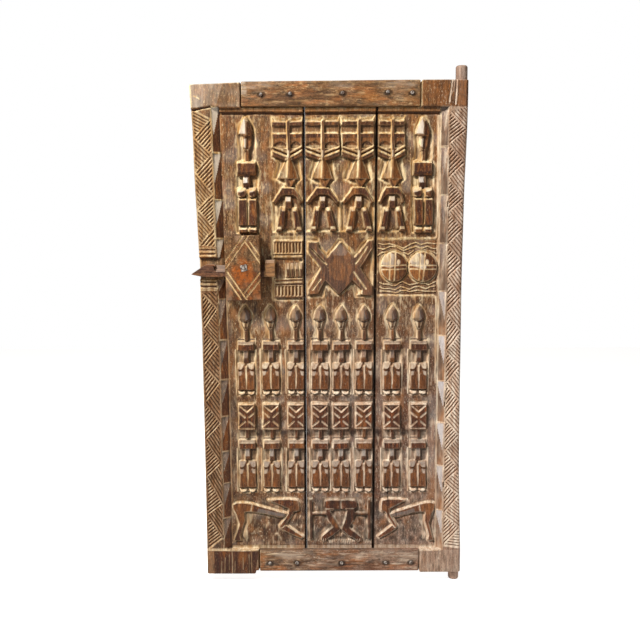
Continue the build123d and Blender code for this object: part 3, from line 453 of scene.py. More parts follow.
def mask_bars(R, left, right):
    """The beds, the two bars, the plate with its hollows between them, and the post."""
    R.moat([(left - 3, 1344), (right + 2, 1344), (right + 2, 1382), (right - 6, 1372), (5, 1368), (0, 1379),
            (-6, 1368), (left + 8, 1372), (left - 4, 1380)], 3.5, 0.9, 0.95, 0.5)
    R.moat([(left - 5, 1255), (-30, 1250), (-47, 1196), (-30, 1186), (-12, 1178), (left - 3, 1127),
            (left - 2, 1040), (right + 2, 1040), (right + 3, 1127), (20, 1178), (40, 1192), (30, 1250),
            (right + 4, 1258), (right + 4, 1330), (left - 5, 1332)], 4.5, 0.7, 0.9, 0.35, width=8)
    R.form(box(left, right, 1325, 1352), 4.5, face=0.35, pale=0.12)
    R.tone(box(left, right, 1327, 1336), pale=0.5, face=0.0)
    R.tone(box(left + 2, -6, 1330, 1346), pale=0.08, face=0.35, rub=0.2)
    R.tone(box(7, right - 2, 1330, 1346), pale=0.08, face=0.35, rub=0.2)
    R.form([(left, 1347), (right, 1347), (right, 1374), (right - 5, 1363), (3, 1360), (0, 1368), (-4, 1360),
            (left + 7, 1362), (left, 1373)], ramp(1363, 1.6, 2, 11), 1.8, least=4)
    edge = [(left + 1, 1360), (right - 1, 1360), (right - 1, 1371), (right - 5, 1363), (left + 6, 1364),
            (left + 1, 1370)]
    R.tone(edge, pale=0.85, face=0)
    plate = [(left, 1262), (left, 1328), (right, 1328), (right, 1262), (6, 1248), (-8, 1248)]
    R.form(plate, ramp(1329, 1.6, 2, 10.5), 1.8)
    R.tone(box(left + 1, right - 1, 1322.5, 1327), pale=0.85, face=0)
    for s, end in ((-1, left + 4), (1, right - 4)):
        inner = s * 6
        half_way = (inner + end) / 2
        R.cut([(inner, 1284), (inner, 1313), (end, 1313), (end, 1287), (half_way, 1282)], 8.5, 1.4, face=0.5)
        R.tone([(inner, 1296), (inner, 1311), (end, 1311), (end, 1297), (half_way, 1303)], rub=0.45, face=0.6)
        hollow = [(inner, 1283), (inner, 1292), (inner + s * 7, 1299), (inner + s * 15, 1302),
                  (end - s * 8, 1299), (end, 1291), (end, 1287), (half_way, 1281)]
        R.cut(hollow, 4.5, 1.2, face=0.6)
        R.tone([(inner, 1284), (inner + s * 4, 1291), (end - s * 8, 1292), (end, 1287)], pale=0.35, face=0.2)
        out = left if s < 0 else right
        R.line([(out, 1288), (inner, 1271)], 5.0, 2.6, pale=0.45, face=0.1)
        R.line([(out, 1282), (inner, 1265)], 3.2, -5.0, face=1.0)
        R.line([(out, 1275.5), (inner, 1258)], 3.8, 2.6, pale=0.85, face=0)
    R.form(box(-5, 5, 1250, 1364), 13, 1.8, face=0.8)
    R.line([(-4.5, 1362), (-4.5, 1256)], 2.8, -0.6, pale=0.9, face=0)
    # a painted highlight on the post's lower left, towards the lamp
    R.tone(box(-4, 1, 1256, 1276), pale=0.5, shine=0.5, face=0.1)


def mask_beak(R):
    """The face, which widens downwards on both sides of a ridge, and the chin."""
    def ridge(X, Z):
        half = 9 + (1256 - Z) * 0.22
        return np.minimum(3.5 + 10 * np.clip(1 - np.abs(X - 1) / half, 0, 1), 13)

    R.form([(-9, 1256), (8, 1256), (31, 1194), (-34, 1194)], ridge, 1.8, face=0.1, pale=0.22)
    R.tone([(-1, 1256), (6, 1256), (26, 1196), (-3, 1196), (-1, 1220)], pale=0.0, face=0.85, rub=0.6)
    R.line([(-9, 1253), (-33, 1198)], 3.0, 0.6, pale=0.9, face=0)
    R.line([(-3.5, 1254), (-4.5, 1219), (-6, 1200)], 3.6, 0.6, pale=0.9, face=0)
    R.line([(9, 1250), (30, 1197)], 2.6, -0.5, pale=0.6, face=0.2)
    R.line([(-32, 1195), (-8, 1193)], 3.4, -2.0, face=1.0)
    R.form([(-13, 1194), (22, 1194), (7, 1170), (-3, 1170)], 7, face=0.7)
    R.tone([(-2, 1192), (18, 1192), (6, 1173)], rub=0.5, face=0.5)


def mask_limbs(R, left, right):
    """Shoulders, chest, legs and feet."""
    arch = [(-20, 1171), (17, 1171), (28, 1155), (right - 1, 1129), (right - 9, 1123), (22, 1142),
            (12, 1149), (-14, 1149), (-24, 1142), (left + 9, 1123), (left + 1, 1129), (-31, 1155)]
    R.form(arch, 11.5, 2.2)
    R.line([(left + 2, 1130), (-31, 1155), (-20, 1170), (17, 1170), (28, 1155), (right - 2, 1130)],
           3.2, -0.8, pale=0.8, face=0)
    R.form(box(-11, 8, 1110, 1147), bent(1147, 4, 0.45, 1129, 12, 0.3))
    # the chest's upward face: a painted highlight
    R.tone(box(-10, 5, 1131, 1144), face=0, shine=0.9, pale=0.35)
    for s in (-1, 1):
        hip = s * 16
        leg = [(hip - 9, 1114), (hip + 8, 1114), (hip + s * 10 + 11, 1050), (hip + s * 10 - 11, 1050)]
        R.form(leg, ramp(1115, 0.8, 2, 11))
        # each leg's right half is darkened as painted shade
        R.tone([(hip, 1102), (hip + 7, 1102), (hip + s * 10 + 10, 1051), (hip + s * 10 + 1, 1051)], deep=0.3)
        # the knees: pale with a painted highlight
        knee = [(hip - 5, 1101), (hip + 4, 1101), (hip + 3, 1113), (hip - 4, 1113)]
        R.tone(knee, face=0, shine=0.5, pale=0.7)
        toe = hip + s * 13
        foot = [(toe - 9, 1043), (toe + 9, 1043), (toe + 10, 1057), (toe - 9, 1057)]
        R.form(foot, ramp(1057, 1.2, 1, 11))
        # the feet's tops: pale with a painted highlight
        R.tone(box(toe - 7, toe + 7, 1049, 1056), pale=0.85, face=0, shine=0.3)


def slots(R, x0, x1, z0, z1, count, top):
    """A raised panel with upright slots."""
    pitch = (x1 - x0) / count
    for i in range(count):
        a = x0 + i * pitch
        R.cut(box(a + 0.5, a + pitch * 0.55, z0, z1), top - 4.5, 1.6, face=0.95)
        R.tone(box(a, a + pitch * 0.6, z0, z1), clean=0.5, rub=0.35)
        rung = a + pitch * 0.75
        R.line([(rung, z0 + 1), (rung, z1 - 1)], pitch * 0.26, 0.3, pale=0.42, face=0, rub=0.5)


def combs(R):
    """The three small combs beside the lock."""
    R.moat(box(-556, -460, 838, 1030), 3.0, 0.5, 0.7, width=8)
    R.form(box(-548, -462, 965, 1017), ramp(1018, 1.5, 1, 5.5), 1.8, face=0.7)
    slots(R, -547, -463, 980, 1010, 9, 5.5)
    R.line([(-548, 974), (-463, 974)], 3.2, -3.5, face=1.0)
    R.line([(-548, 968), (-463, 969)], 5, 0.4, pale=0.6, face=0)
    R.line([(-548, 978), (-463, 978)], 3, 0.4, pale=0.6, face=0)
    R.form(box(-513, -462, 908, 952), ramp(953, 0.25, 1, 5.5), 1.8, face=0.8)
    for i in range(4):
        a = -507 + i * 13.0
        R.cut(box(a + 5, a + 9, 908, 950), 0.5, 1.6, face=0.5, pale=0.5)
        R.form(box(a - 3, a + 4, 932, 950), -5, face=0, pale=0.5, shine=0.3)
    R.form(box(-548, -462, 848, 905), ramp(906, 1.5, 1, 5.5), 1.8, face=0.8)
    R.line([(-546, 898), (-463, 898)], 3.0, -3, face=1.0)
    R.line([(-546, 892), (-466, 893)], 3.4, 0.6, pale=0.7, face=0)
    R.line([(-546, 886), (-463, 886)], 3.4, -3, face=1.0)
    slots(R, -546, -463, 853, 881, 8, 5.5)


def lozenge(R):
    """The large lozenge with four bent limbs on the middle plank."""
    bed = [(-454, 1030), (-454, 985), (-410, 937), (-454, 885), (-454, 846), (-400, 846), (-394, 880),
           (-357, 848), (-318, 880), (-308, 846), (-254, 846), (-254, 1030), (-290, 1010), (-309, 980),
           (-345, 1022), (-359, 1022), (-390, 980), (-412, 1004), (-412, 1024)]
    R.moat(bed, 4.0, 0.6, 0.9, width=10)
    limbs = [(-447, 996), (-446, 1012), (-417, 1012), (-414, 996), (-390, 967), (-353, 1012), (-347, 1012),
             (-310, 967), (-268, 1017), (-256, 1017), (-256, 990), (-292, 937), (-256, 882), (-256, 853),
             (-288, 855), (-288, 872), (-316, 899), (-354, 857), (-360, 857), (-396, 898), (-418, 858),
             (-448, 855), (-448, 872), (-411, 932), (-411, 938), (-444, 980)]
    R.form(limbs, 9.5, 2.2, face=0.85, shine=0.04)
    R.tone(oval(-352, 932, 34, 34), rub=0.35, face=0.8)
    R.tone([(-376, 985), (-353, 1009), (-330, 985), (-336, 972), (-370, 972)], shine=0.18, face=0.7)
    # cuts and ridges along the limbs: two ends, width, height and tones
    for ends, width, height, tones in (
            ([(-434, 990), (-392, 946)], 4.0, -3.0, dict(pale=0.85, face=0)),
            ([(-440, 996), (-398, 952)], 3.0, -2.5, dict(face=1.0, deep=0.4)),
            ([(-450, 986), (-415, 939)], 4.0, 0.6, dict(pale=1.0, face=0)),
            ([(-274, 996), (-307, 948)], 4.0, -3.0, dict(pale=0.8, face=0)),
            ([(-263, 990), (-294, 941)], 3.0, -2.5, dict(pale=0.2, face=0.9)),
            ([(-411, 902), (-434, 871)], 4.0, -3.0, dict(pale=0.7, face=0)),
            ([(-400, 895), (-418, 866)], 2.6, -2.0, dict(pale=0.45, face=0.4)),
            ([(-311, 923), (-275, 874)], 4.0, -3.0, dict(pale=0.85, face=0)),
            ([(-316, 899), (-286, 869)], 3.0, -2.5, dict(face=1.0))):
        R.line(ends, width, height, **tones)
    R.form([(-303, 852), (-284, 856), (-284, 868), (-296, 864)], 4, face=0, pale=1.0)


# the wavy lines above and below the domes, as (x, z)
WAVES = [
    [(-238, 1007), (-222, 1003), (-207, 1006), (-184, 1000), (-165, 993), (-144, 1005), (-128, 1009),
     (-111, 1003), (-93, 1008), (-68, 1006)],
    [(-239, 992), (-223, 989), (-204, 998), (-187, 997), (-165, 987), (-147, 993), (-128, 998), (-110, 992),
     (-93, 998), (-77, 992), (-68, 992)],
    [(-239, 972), (-227, 980), (-214, 981)],
    [(-164, 981), (-150, 975), (-136, 985)],
    [(-88, 985), (-72, 980), (-67, 976)],
    [(-235, 891), (-223, 886), (-208, 885), (-197, 881), (-187, 882), (-174, 891), (-166, 893), (-155, 888),
     (-145, 884), (-132, 886), (-117, 890), (-100, 889), (-88, 884), (-75, 891), (-68, 894)],
    [(-235, 878), (-223, 872), (-208, 873), (-190, 869), (-172, 879), (-160, 876), (-145, 871), (-130, 878),
     (-117, 879), (-96, 872), (-84, 878), (-69, 881)],
    [(-235, 865), (-222, 865), (-203, 863), (-187, 860), (-172, 867), (-157, 868), (-143, 864), (-121, 868),
     (-100, 865), (-68, 865)],
]


# the height of the domes' middles, and half of a dome's own height
DOME_Z, DOME_HALF = 937.5, 45.5
# each dome's x and half width, and where the top and foot of its two upright lines are from that x
DOMES = [(-192.5, 41.0, ((-12, -15), (2.5, 0))), (-107.3, 43.0, ((-8, -12), (6, -1)))]
# the patches of a dome: ovals placed from its centre, with their two radii and their tones; greyish painted
# highlights and a white painted glint above, dark brown on the right, orange-brown on the lower left and
# painted shade on the lower right
DOME_PATCHES = [
    ((-15, 20, 24, 22), dict(shine=0.45, pale=0.2, face=0.2)),
    ((-24, 26, 12, 12), dict(shine=0.3, pale=0.6, face=0)),
    ((22, 20, 19, 21), dict(shine=0.0, face=1.0, rub=0.15)),
    ((12, 14, 4.5, 8), dict(shine=1.0, pale=0.9, face=0)),
    ((-19, -20, 23, 22), dict(rub=0.9, face=0.9)),
    ((21, -22, 19, 20), dict(rub=0.3, face=1.0, deep=0.15)),
]


def dome(R, cx, rx):
    """A half-round boss with patches of painted highlight and shade, and a bare edge."""
    def cap(X, Z):
        r2 = ((X - cx) / (rx + 1)) ** 2 + ((Z - DOME_Z) / (DOME_HALF + 1)) ** 2
        return 1 + 14.0 * np.sqrt(np.clip(1 - r2, 0, 1))

    R.form(oval(cx, DOME_Z, rx, DOME_HALF, 48), cap, 1.6, face=0.9)
    for (dx, dz, *radii), tones in DOME_PATCHES:
        R.tone(oval(cx + dx, DOME_Z + dz, *radii), **tones)
    win = R.window(box(cx - 50, cx + 50, DOME_Z - 50, DOME_Z + 50), 0)
    X, Z = R.at(win)
    rim = np.hypot((X - cx) / rx, (Z - DOME_Z) / DOME_HALF)
    ring = smoothstep(0.91, 0.96, rim) * smoothstep(1.15, 1.08, rim)
    R.pale[win] = np.maximum(R.pale[win], 0.95 * ring)
    R.face[win] *= 1 - ring


def domes(R):
    """Two crossed domes between wavy lines, on the hinge plank."""
    R.moat(box(-241, -63, 852, 1022), 2.6, 0.8, 0.15, 0.08, width=5)
    R.tone(box(-240, -66, 856, 1016), pale=0.0, face=0.45, clean=0.9)
    for cx, rx, _ in DOMES:
        R.moat(oval(cx, DOME_Z, rx + 3, 49), 5.0, 1.4, 1.0, 0.9)
    for points in WAVES:
        R.line([(x, z - 3.4) for x, z in points], 4.0, -1.6, face=1.0)
        R.line(points, 3.4, 1.6, pale=0.95, face=0)
    for cx, rx, _ in DOMES:
        dome(R, cx, rx)
    R.tone(oval(-108, 938, 9, 9), shine=0.8, pale=0.35, face=0.2)
    # the crossed lines are measured from the domes as they are now, so that they can meet
    R.level = R.h.copy()
    for cx, _, uprights in DOMES:
        for top, foot in uprights:
            R.line([(cx + top, 978), (cx + foot, 896)], 3.6, -1.6, pale=0.95, face=0)
        for z in (942.3, 931.0):
            R.line([(cx - 39, z), (cx + 40, z)], 3.0, -1.6, pale=0.9, face=0)
    R.level = None


def beast(R, x, reach):
    """A four-legged animal; its tail end is at x, and it is reach long, to either side."""
    def place(*points):
        return [(x + share * reach, z) for share, z in points]

    trunk = place((0.0, 213), (0.06, 219), (0.16, 218), (0.27, 214), (0.40, 206), (0.55, 197), (0.68, 189),
                  (0.78, 183), (0.74, 176), (0.68, 170), (0.55, 177), (0.40, 185), (0.25, 189), (0.17, 188),
                  (0.175, 160), (0.14, 138), (0.10, 112), (0.12, 98), (0.01, 97), (0.05, 124), (0.09, 150),
                  (0.05, 180), (0.0, 200))
    head = place((0.50, 226), (0.62, 229), (0.80, 230), (0.92, 226), (0.94, 205), (0.93, 192), (0.86, 188),
                 (0.84, 180), (0.74, 148), (0.70, 138), (0.66, 138), (0.66, 146), (0.74, 170), (0.78, 184),
                 (0.79, 198))
    foreleg = place((0.67, 139), (0.75, 147), (0.88, 128), (1.0, 110), (0.96, 104), (0.84, 116), (0.70, 131))
    for shape in (trunk, head, foreleg):
        win = R.window(shape, 14)
        X, Z = R.at(win)
        d = -R.depth(shape, X, Z) + 1.2 * noise(X, Z, 12, 12, 15)
        near = smoothstep(5.2, 3.8, d)
        R.h[win] = np.minimum(R.h[win], np.where(d < 9, -2.4 * smoothstep(9.0, 3.0, d), R.h[win]))
        R.pale[win] = np.maximum(R.pale[win], near)
        R.deep[win] *= 1 - near
    R.tone(place((0.18, 188), (0.29, 188), (0.27, 158), (0.20, 138), (0.21, 104), (0.19, 96), (0.13, 116),
                 (0.15, 138), (0.19, 160)), pale=0.75, face=0)
    R.outlined(foreleg, 4.2, 2.0)
    R.outlined(trunk, 4.8)
    R.tone(place((0.34, 187), (0.36, 200), (0.55, 190), (0.74, 182), (0.72, 173), (0.55, 179)), shine=0.3,
           deep=0.4)
    R.outlined(head, 5.2)
    R.tone(place((0.76, 186), (0.92, 194), (0.90, 214), (0.80, 206)), rub=0.4, face=0.9, deep=0.1)
    R.line(place((0.27, 212), (0.25, 190)), 2.2, -2.5, pale=0.8, face=0)


def squatter(R):
    """The frontal figure in the middle of the lowest row, between its two posts."""
    R.moat([(-452, 96), (-452, 234), (-436, 234), (-432, 192), (-410, 192), (-410, 232), (-296, 232),
            (-294, 194), (-270, 194), (-268, 234), (-252, 234), (-252, 96), (-274, 96), (-274, 170),
            (-300, 170), (-316, 150), (-280, 118), (-280, 96), (-420, 96), (-420, 118), (-384, 150),
            (-398, 172), (-432, 172), (-432, 96)], 2.6, 0.7, 0.9, width=8)
    R.form(box(-447, -438, 100, 228), 5.0)
    R.form(box(-268, -259, 100, 228), 5.0)
    R.form(box(-440, -385, 178, 186), 4.8)
    R.form(box(-322, -265, 178, 186), 4.8)
    R.form([(-402, 204), (-400, 222), (-392, 226), (-308, 226), (-301, 220), (-300, 203), (-312, 196),
            (-388, 196)], 5.6, 2.2)
    R.line([(-351, 226), (-350, 196)], 3.2, -3, pale=0.9, face=0)
    left = [(-396, 198), (-372, 198), (-371, 176), (-350, 133), (-376, 112), (-404, 92), (-412, 98),
            (-410, 110), (-374, 140), (-388, 160), (-396, 182)]
    right = [(-310, 198), (-336, 198), (-335, 176), (-350, 133), (-326, 112), (-296, 92), (-285, 98),
             (-287, 110), (-324, 140), (-312, 160), (-306, 182)]
    for leg in (left, right):
        R.outlined(leg, 5.0, closed=False, pale=0.85)
    R.cut([(-381, 190), (-334, 190), (-338, 165), (-348, 140), (-356, 142)], -1.0, 2.2, pale=0.15)
    R.line([(-381, 191), (-333, 191)], 4, -2, pale=0.95, face=0)
    R.line([(-381, 190), (-349, 136)], 3.4, 0, pale=0.9, face=0)
    R.line([(-333, 190), (-347, 136)], 3.4, 0, pale=0.9, face=0)
    for s in (-1, 1):
        R.line([(-350, 122), (-350 + s * 40, 104)], 4, -1.5, pale=0.8, face=0)
    R.line([(-350, 133), (-350, 98)], 4, -2.0, pale=0.8, face=0)
    for x in range(-440, -256, 7):
        R.line([(x + 1, 103), (x - 1, 92 + 3 * math.sin(x))], 2.4, -1.5, pale=0.9)


# ---------------------------------------------------------------- mouldings and herringbone
# heights at which the mouldings' facets start, and of the herringbone's zigzags' corners
LOCK_FACETS = [1399, 1269, 1134, 1021, 904, 842, 720, 600, 488, 379, 281, 171, 71]
HINGE_FACETS = [1399, 1285, 1146, 1006, 865, 732, 595, 467, 333, 194, 72]
ZIG_LOCK_HIGH = [1392, 1365, 1313, 1265, 1214, 1152, 1108, 1052, 1002, 997]
ZIG_LOCK_LOW = [868, 862, 812, 752, 700, 645, 589, 530, 467, 414, 344, 301, 217, 182, 110, 76]
ZIG_HINGE = [1400, 1384, 1330, 1290, 1238, 1191, 1133, 1095, 1044, 1000, 946, 901, 843, 798, 741, 682, 639,
             586, 532, 475, 427, 377, 323, 281, 241, 181, 138, 84, 76]
MOULDING = 23.0                 # width of the bevel between stile and field


def moulding(R, line, sign, tops, gloss):
    """A bevel between stile and field, cut in segments that each start with a triangular facet given a
    painted sheen.

    sign is +1 when the field is to the right; the last argument gives, by height, how strong the facets'
    painted sheen is, a greyish highlight that stands in for reflected light.
    """
    win = R.window([(line(FIELD_TOP) - 30, FIELD_BOTTOM - 2), (line(FIELD_BOTTOM) + 30, FIELD_TOP)], 0)
    X, Z = R.grid_x[win], R.grid_z[win]
    across = (X - line(Z)) * sign + 0.7 * noise(X, Z, 14, 35, 19)
    a = across / MOULDING
    inside = (across > -0.6) & (across < MOULDING + 0.6)
    edge = np.clip((MOULDING + 0.6 - across) / 1.2, 0, 1)
    new = np.where(inside, np.clip(STILE * (1 - a), 0, STILE) * edge, R.h[win])
    start = {"face": 1.0, "pale": 0.0, "shine": 0.0, "rub": 0.15, "deep": 0.0}
    tones = {name: np.where(inside, value, getattr(R, name)[win]) for name, value in start.items()}

    def paint(where, **values):
        for name, value in values.items():
            tones[name] = np.where(where, value, tones[name])

    for top, below in zip(tops[:-1], tops[1:]):
        t = (top - Z) / min(84.0, (top - below) * 0.62)
        apex = 0.5 if sign < 0 and top > 1000 else 0.2
        depth = np.minimum(1 - t, (1 - (1 - apex) * t - a) / (1 - apex))
        facet = inside & (t >= 0) & (depth > 0) & (a > apex * t)
        new = np.where(facet, np.maximum(new - 3.4 * depth, 0.3), new)
        if sign < 0:
            share = (top - Z) / (top - below) - 0.35 * (a - 0.5) + 0.1 * noise(X, Z, 8, 30, 20)
            low = smoothstep(0.55, 1.0, share)
            here = inside & (Z < top) & (Z > below) & ~facet
            if top < 1000:
                paint(here, rub=low * 0.85, deep=0.32 - 0.32 * low)
            else:
                paint(here, rub=low * 0.1, deep=0.15 + 0.35 * low)
        # painted highlight: each facet gets a greyish sheen, strongest near its top, standing in for the
        # light it reflects
        paint(facet, face=0.1, rub=0.0, shine=gloss(top) * (1.0 - 0.25 * t), pale=0.3 * (gloss(top) > 0.95),
              deep=0.12 * (apex == 0.5))
        shelf = inside & (np.abs(Z - top - 1.0) < 2.6)
        paint(shelf, pale=0.95 if sign < 0 or top > 1000 else 0.45, face=0.0)
    slope = 13.0 - (FIELD_TOP - Z) * 0.7 - 3.0 * a
    new = np.where(inside & (Z < FIELD_TOP), np.maximum(new, slope), new)
    stile_edge = smoothstep(3.4, 1.8, across) * inside
    field_edge = smoothstep(MOULDING - 4.0, MOULDING - 2.4, across) * inside
    if sign > 0:
        rim, dark = stile_edge, 0.4 * field_edge
    else:
        rim, dark = np.maximum(field_edge, 0.6 * stile_edge), 0.0
    bright = np.where((Z < 1000) & (sign > 0), 0.3, 0.8)
    tones["pale"] = np.maximum(tones["pale"], bright * rim)
    tones["deep"] = np.maximum(tones["deep"], dark)
    for name in ("face", "shine", "rub"):
        tones[name] = tones[name] * (1 - rim)
    R.h[win] = new
    for name, values in tones.items():
        getattr(R, name)[win] = values


def lock_facet_sheen(z):
    """How strong the painted sheen, a greyish highlight, is on the left moulding's facets."""
    return 1.0 if z > 1000 else 0.22


def hinge_facet_sheen(z):
    """How strong the painted sheen, a greyish highlight, is on the right moulding's facets."""
    return 0.2 if z > 1000 else 0.55 if z > 800 else 0.94 if z > 400 else 0.7


def herringbone(R, outer, inner, first, heights, ridge_pale, gloom=0.1, along=1):
    """Bands of slanting grooves between a zigzag and two edges, given as functions of z.

    The zigzag's corners are at heights, by turns on the outer and the inner edge; first is 0 when it
    starts on the outer one. The grooves run along each triangle's upper side, or its lower one when
    along is -1.
    """
    corners = [(float((outer, inner)[(first + i) % 2](z)), z) for i, z in enumerate(heights)]
    for a, b, c in zip(corners[:-2], corners[1:-1], corners[2:]):
        a, c = (a, c)[::along]
        win = R.window([a, b, c], 2)
        X, Z = R.at(win)
        d = R.depth([a, b, c], X, Z)
        ux, uz = b[0] - a[0], b[1] - a[1]
        length = math.hypot(ux, uz)
        s = np.abs((X - a[0]) * uz - (Z - a[1]) * ux) / length
        total = abs((c[0] - a[0]) * uz - (c[1] - a[1]) * ux) / length
        phase = (s / (total / max(3, round(total / 8.4)))) % 1.0
        # the grooves are darkened and the ridges paled more on triangles whose grooves run along the light,
        # where the lamp shades them little: painted shade and painted light
        lit, darkening, start = (1.0, 0.3, 0.0) if ux * uz > 0 else (1.45, 0.5, 0.14)
        start += 0.10 if gloom < 0.3 else 0.0
        groove = smoothstep(0.24 + start, 0.44 + start, phase) * smoothstep(0.98, 0.82, phase)
        groove = groove * smoothstep(0.0, 1.6, d)
        R.h[win] -= 3.2 * groove
        inside = d > -1.0
        wear = 0.75 + 0.45 * noise(X, Z, 22, 30, 22)
        ridge = ridge_pale if np.isscalar(ridge_pale) else ridge_pale[win]
        masks = {"pale": ridge * lit * wear * (1 - groove), "face": gloom + (0.95 - gloom) * groove,
                 "rub": 0.35 + 0.2 * groove, "deep": (0.1 + gloom) * 2.0 * darkening * groove}
        for name, values in masks.items():
            field = getattr(R, name)
            field[win] = np.where(inside, values, field[win])
        crest = smoothstep(3.4, 1.6, segment(X, Z, a, b))
        R.pale[win] = np.maximum(R.pale[win], 0.75 * wear * crest)


# ---------------------------------------------------------------- corner blocks and stiles
def adzed(R):
    """Broad slanting tool facets on the lock side's upper block."""
    win = R.window([(-800, 1400), (-641, 1480)], 0)
    X, Z = R.grid_x[win], R.grid_z[win]
    on = (Z > 1386) & (X < -640.5) & (R.h[win] > BLOCK - 3)
    facet = (X > -690 + 0.29 * (Z - 1470)).astype(float) + (X > -746)
    R.h[win] += np.where(on, -0.8 * np.mod(facet, 2) * smoothstep(0, 30, X + 746) - 0.4 * (facet < 1), 0)
    # each tool facet gets its own grey painted sheen and darkness, standing in for the light it catches
    R.shine[win] = np.where(on, 0.34 - 0.15 * facet + 0.08 * noise(X, Z, 20, 20, 27), R.shine[win])
    scratch = smoothstep(2.6, 1.0, segment(X, Z, (-773, 1431), (-757, 1421)))
    strip = smoothstep(7, 3, X - lock_edge(Z))
    R.pale[win] = np.where(on, 0.08 + 0.8 * scratch + 0.5 * strip, R.pale[win])
    R.face[win] = np.where(on, 0.1 + 0.3 * (facet > 1), R.face[win])


def peg_band(R):
    """The upper peg's sides run down the front of its block as shallow cuts."""
    R.cut([(-22.5, 1402), (-20.5, 1402), (-17.5, 1476), (-20, 1476)], BLOCK - 3.0, 1.2, pale=0.1, face=0.9)
    R.line([(-15, 1476), (-18.5, 1404)], 3.4, 0.6, pale=0.9)
    R.line([(-30, 1472), (-37, 1410)], 3.0, -1.6, pale=0.85)
    R.line([(-24, 1476), (-26, 1440)], 2.0, -1.2, pale=0.4)
    R.tone(box(-116, -42, 1403, 1472), face=0.45, rub=0.35)
    R.tone(box(-12, 12, 1403, 1474), face=0.7, rub=0.6, pale=0.05)


BLOCKS = [  # outline, face and pale
    ([(-800, 1386), (-722, 1403), (-700, 1397), (-639.4, 1397), (-639.4, 1480), (-800, 1480)], 0.1, 0),
    ([(-118.6, 1399), (30, 1399), (30, 1480), (-118.6, 1480)], 0.5, 0),
    ([(-800, -10), (-601.6, -10), (-601.6, 72), (-800, 72)], 1.0, 0),
    ([(-109.2, -10), (30, -10), (30, 72), (-109.2, 72)], 0.25, 0.2),
]
# X of the small figures, of the dark hollows between the shields' feet and of the lower block's cracks
FIGURES = (-634.5, -560.5, -485.0, -413.0, -349.5, -281.0, -197.0, -117.0)
HOLLOWS = (-596, -522, -448, -380, -315, -240, -157)
SPLITS = (-718, -707, -693, -683, -677, -651, -631, -623, -607)


def ground(R):
    """The adzed and worn ground before anything is carved."""
    X, Z = R.X, R.Z
    R.h += noise(X, Z, 26, 70, 1) * 0.8 + noise(X, Z, 7, 24, 2) * 0.5 + noise(X, Z, 3.2, 22, 3) * 0.35
    grain = smoothstep(0.2, 0.8, noise(X, Z, 3.2, 13, 4))
    R.pale += 0.4 * grain * smoothstep(-0.5, 0.4, noise(X, Z, 45, 60, 5))
    R.face += 0.45 * smoothstep(-0.1, 0.7, noise(X, Z, 34, 60, 23))
    R.rub += 0.55 * smoothstep(0.25, 0.9, noise(X, Z, 24, 50, 24))
    R.shine += 0.16 * smoothstep(0.1, 0.8, noise(X, Z, 38, 45, 25))
    R.clean += 0.45 * smoothstep(780, 640, Z)
    R.cut(box(-700, -50, 70, 82), -1.5, 3.0, pale=0.6)


def field(R):
    """The figures between the stiles, from the top row down."""
    X, Z = R.X, R.Z
    tall(R, -626.0, 1390.0)
    tall(R, -111.0, 1385.0)
    for x, left, right in ((-502, -48, 41.5), (-402, -51.5, 49), (-296, -53, 43), (-199, -42.5, 36)):
        mask(R, x, left, right)
    R.origin = (0.0, 0.0)
    for z0, z1 in ((1352, 1374), (1284, 1326)):
        R.line([(-347.5, z1), (-347.5, z0)], 4.5, -1.0, pale=0.9, face=0)
    combs(R)
    lozenge(R)
    domes(R)
    for x in FIGURES:
        headed(R, x)
        shielded(R, x + (0.0 if x < -250 else 1.0))
    R.origin = (0.0, 0.0)
    low = smoothstep(236, 222, Z) * smoothstep(88, 100, Z)
    R.deep = np.maximum(R.deep, low * np.clip(0.34 + 0.6 * noise(X, Z, 13, 13, 31), 0, 0.7))
    R.pale = np.maximum(R.pale, low * 0.7 * smoothstep(0.45, 0.85, noise(X, Z, 3.4, 7, 32)))
    beast(R, -682.0, 218.0)
    beast(R, -62.0, -176.0)
    squatter(R)


def borders(R):
    """The bead under the top rail, the thin lines round the field, and darkening along its left edge low down
    and in hollows.
    """
    X, Z = R.X, R.Z
    R.form(box(-702, -48, 1386, 1399), 6.5, face=0.2)
    R.tone(box(-702, -48, 1387, 1398), rub=0.65, face=0.3, pale=0.1)
    R.cut(box(-702, -48, 1378, 1386), -2.0, 2.5, face=0.9)
    R.line([(-242, 1019), (-72, 1021), (-66, 1026), (-65, 1374)], 5.4, 1.2, pale=1.0, face=0)
    R.line([(-242, 853), (-74, 853), (-66, 846), (-65, 590)], 4.4, 1.0, pale=0.8, face=0)
    R.line([(-700, 1386), (-700, 1130)], 5.0, 1.2, pale=0.1, face=0.1)
    R.tone(box(-703, -696, 1130, 1388), rub=0.8, face=0.2)
    gloom = smoothstep(30, 12, X - lock_stile(Z) - 22) * smoothstep(900, 700, Z) * smoothstep(70, 90, Z)
    R.deep = np.maximum(R.deep, gloom * (0.35 + 0.3 * noise(X, Z, 14, 50, 28)))
    for x in HOLLOWS:
        spot = np.hypot(X - x, Z - 437) + 4 * noise(X, Z, 9, 9, 29)
        R.deep = np.maximum(R.deep, 0.9 * smoothstep(16, 5, spot))
        R.clean = np.maximum(R.clean, smoothstep(20, 8, spot))


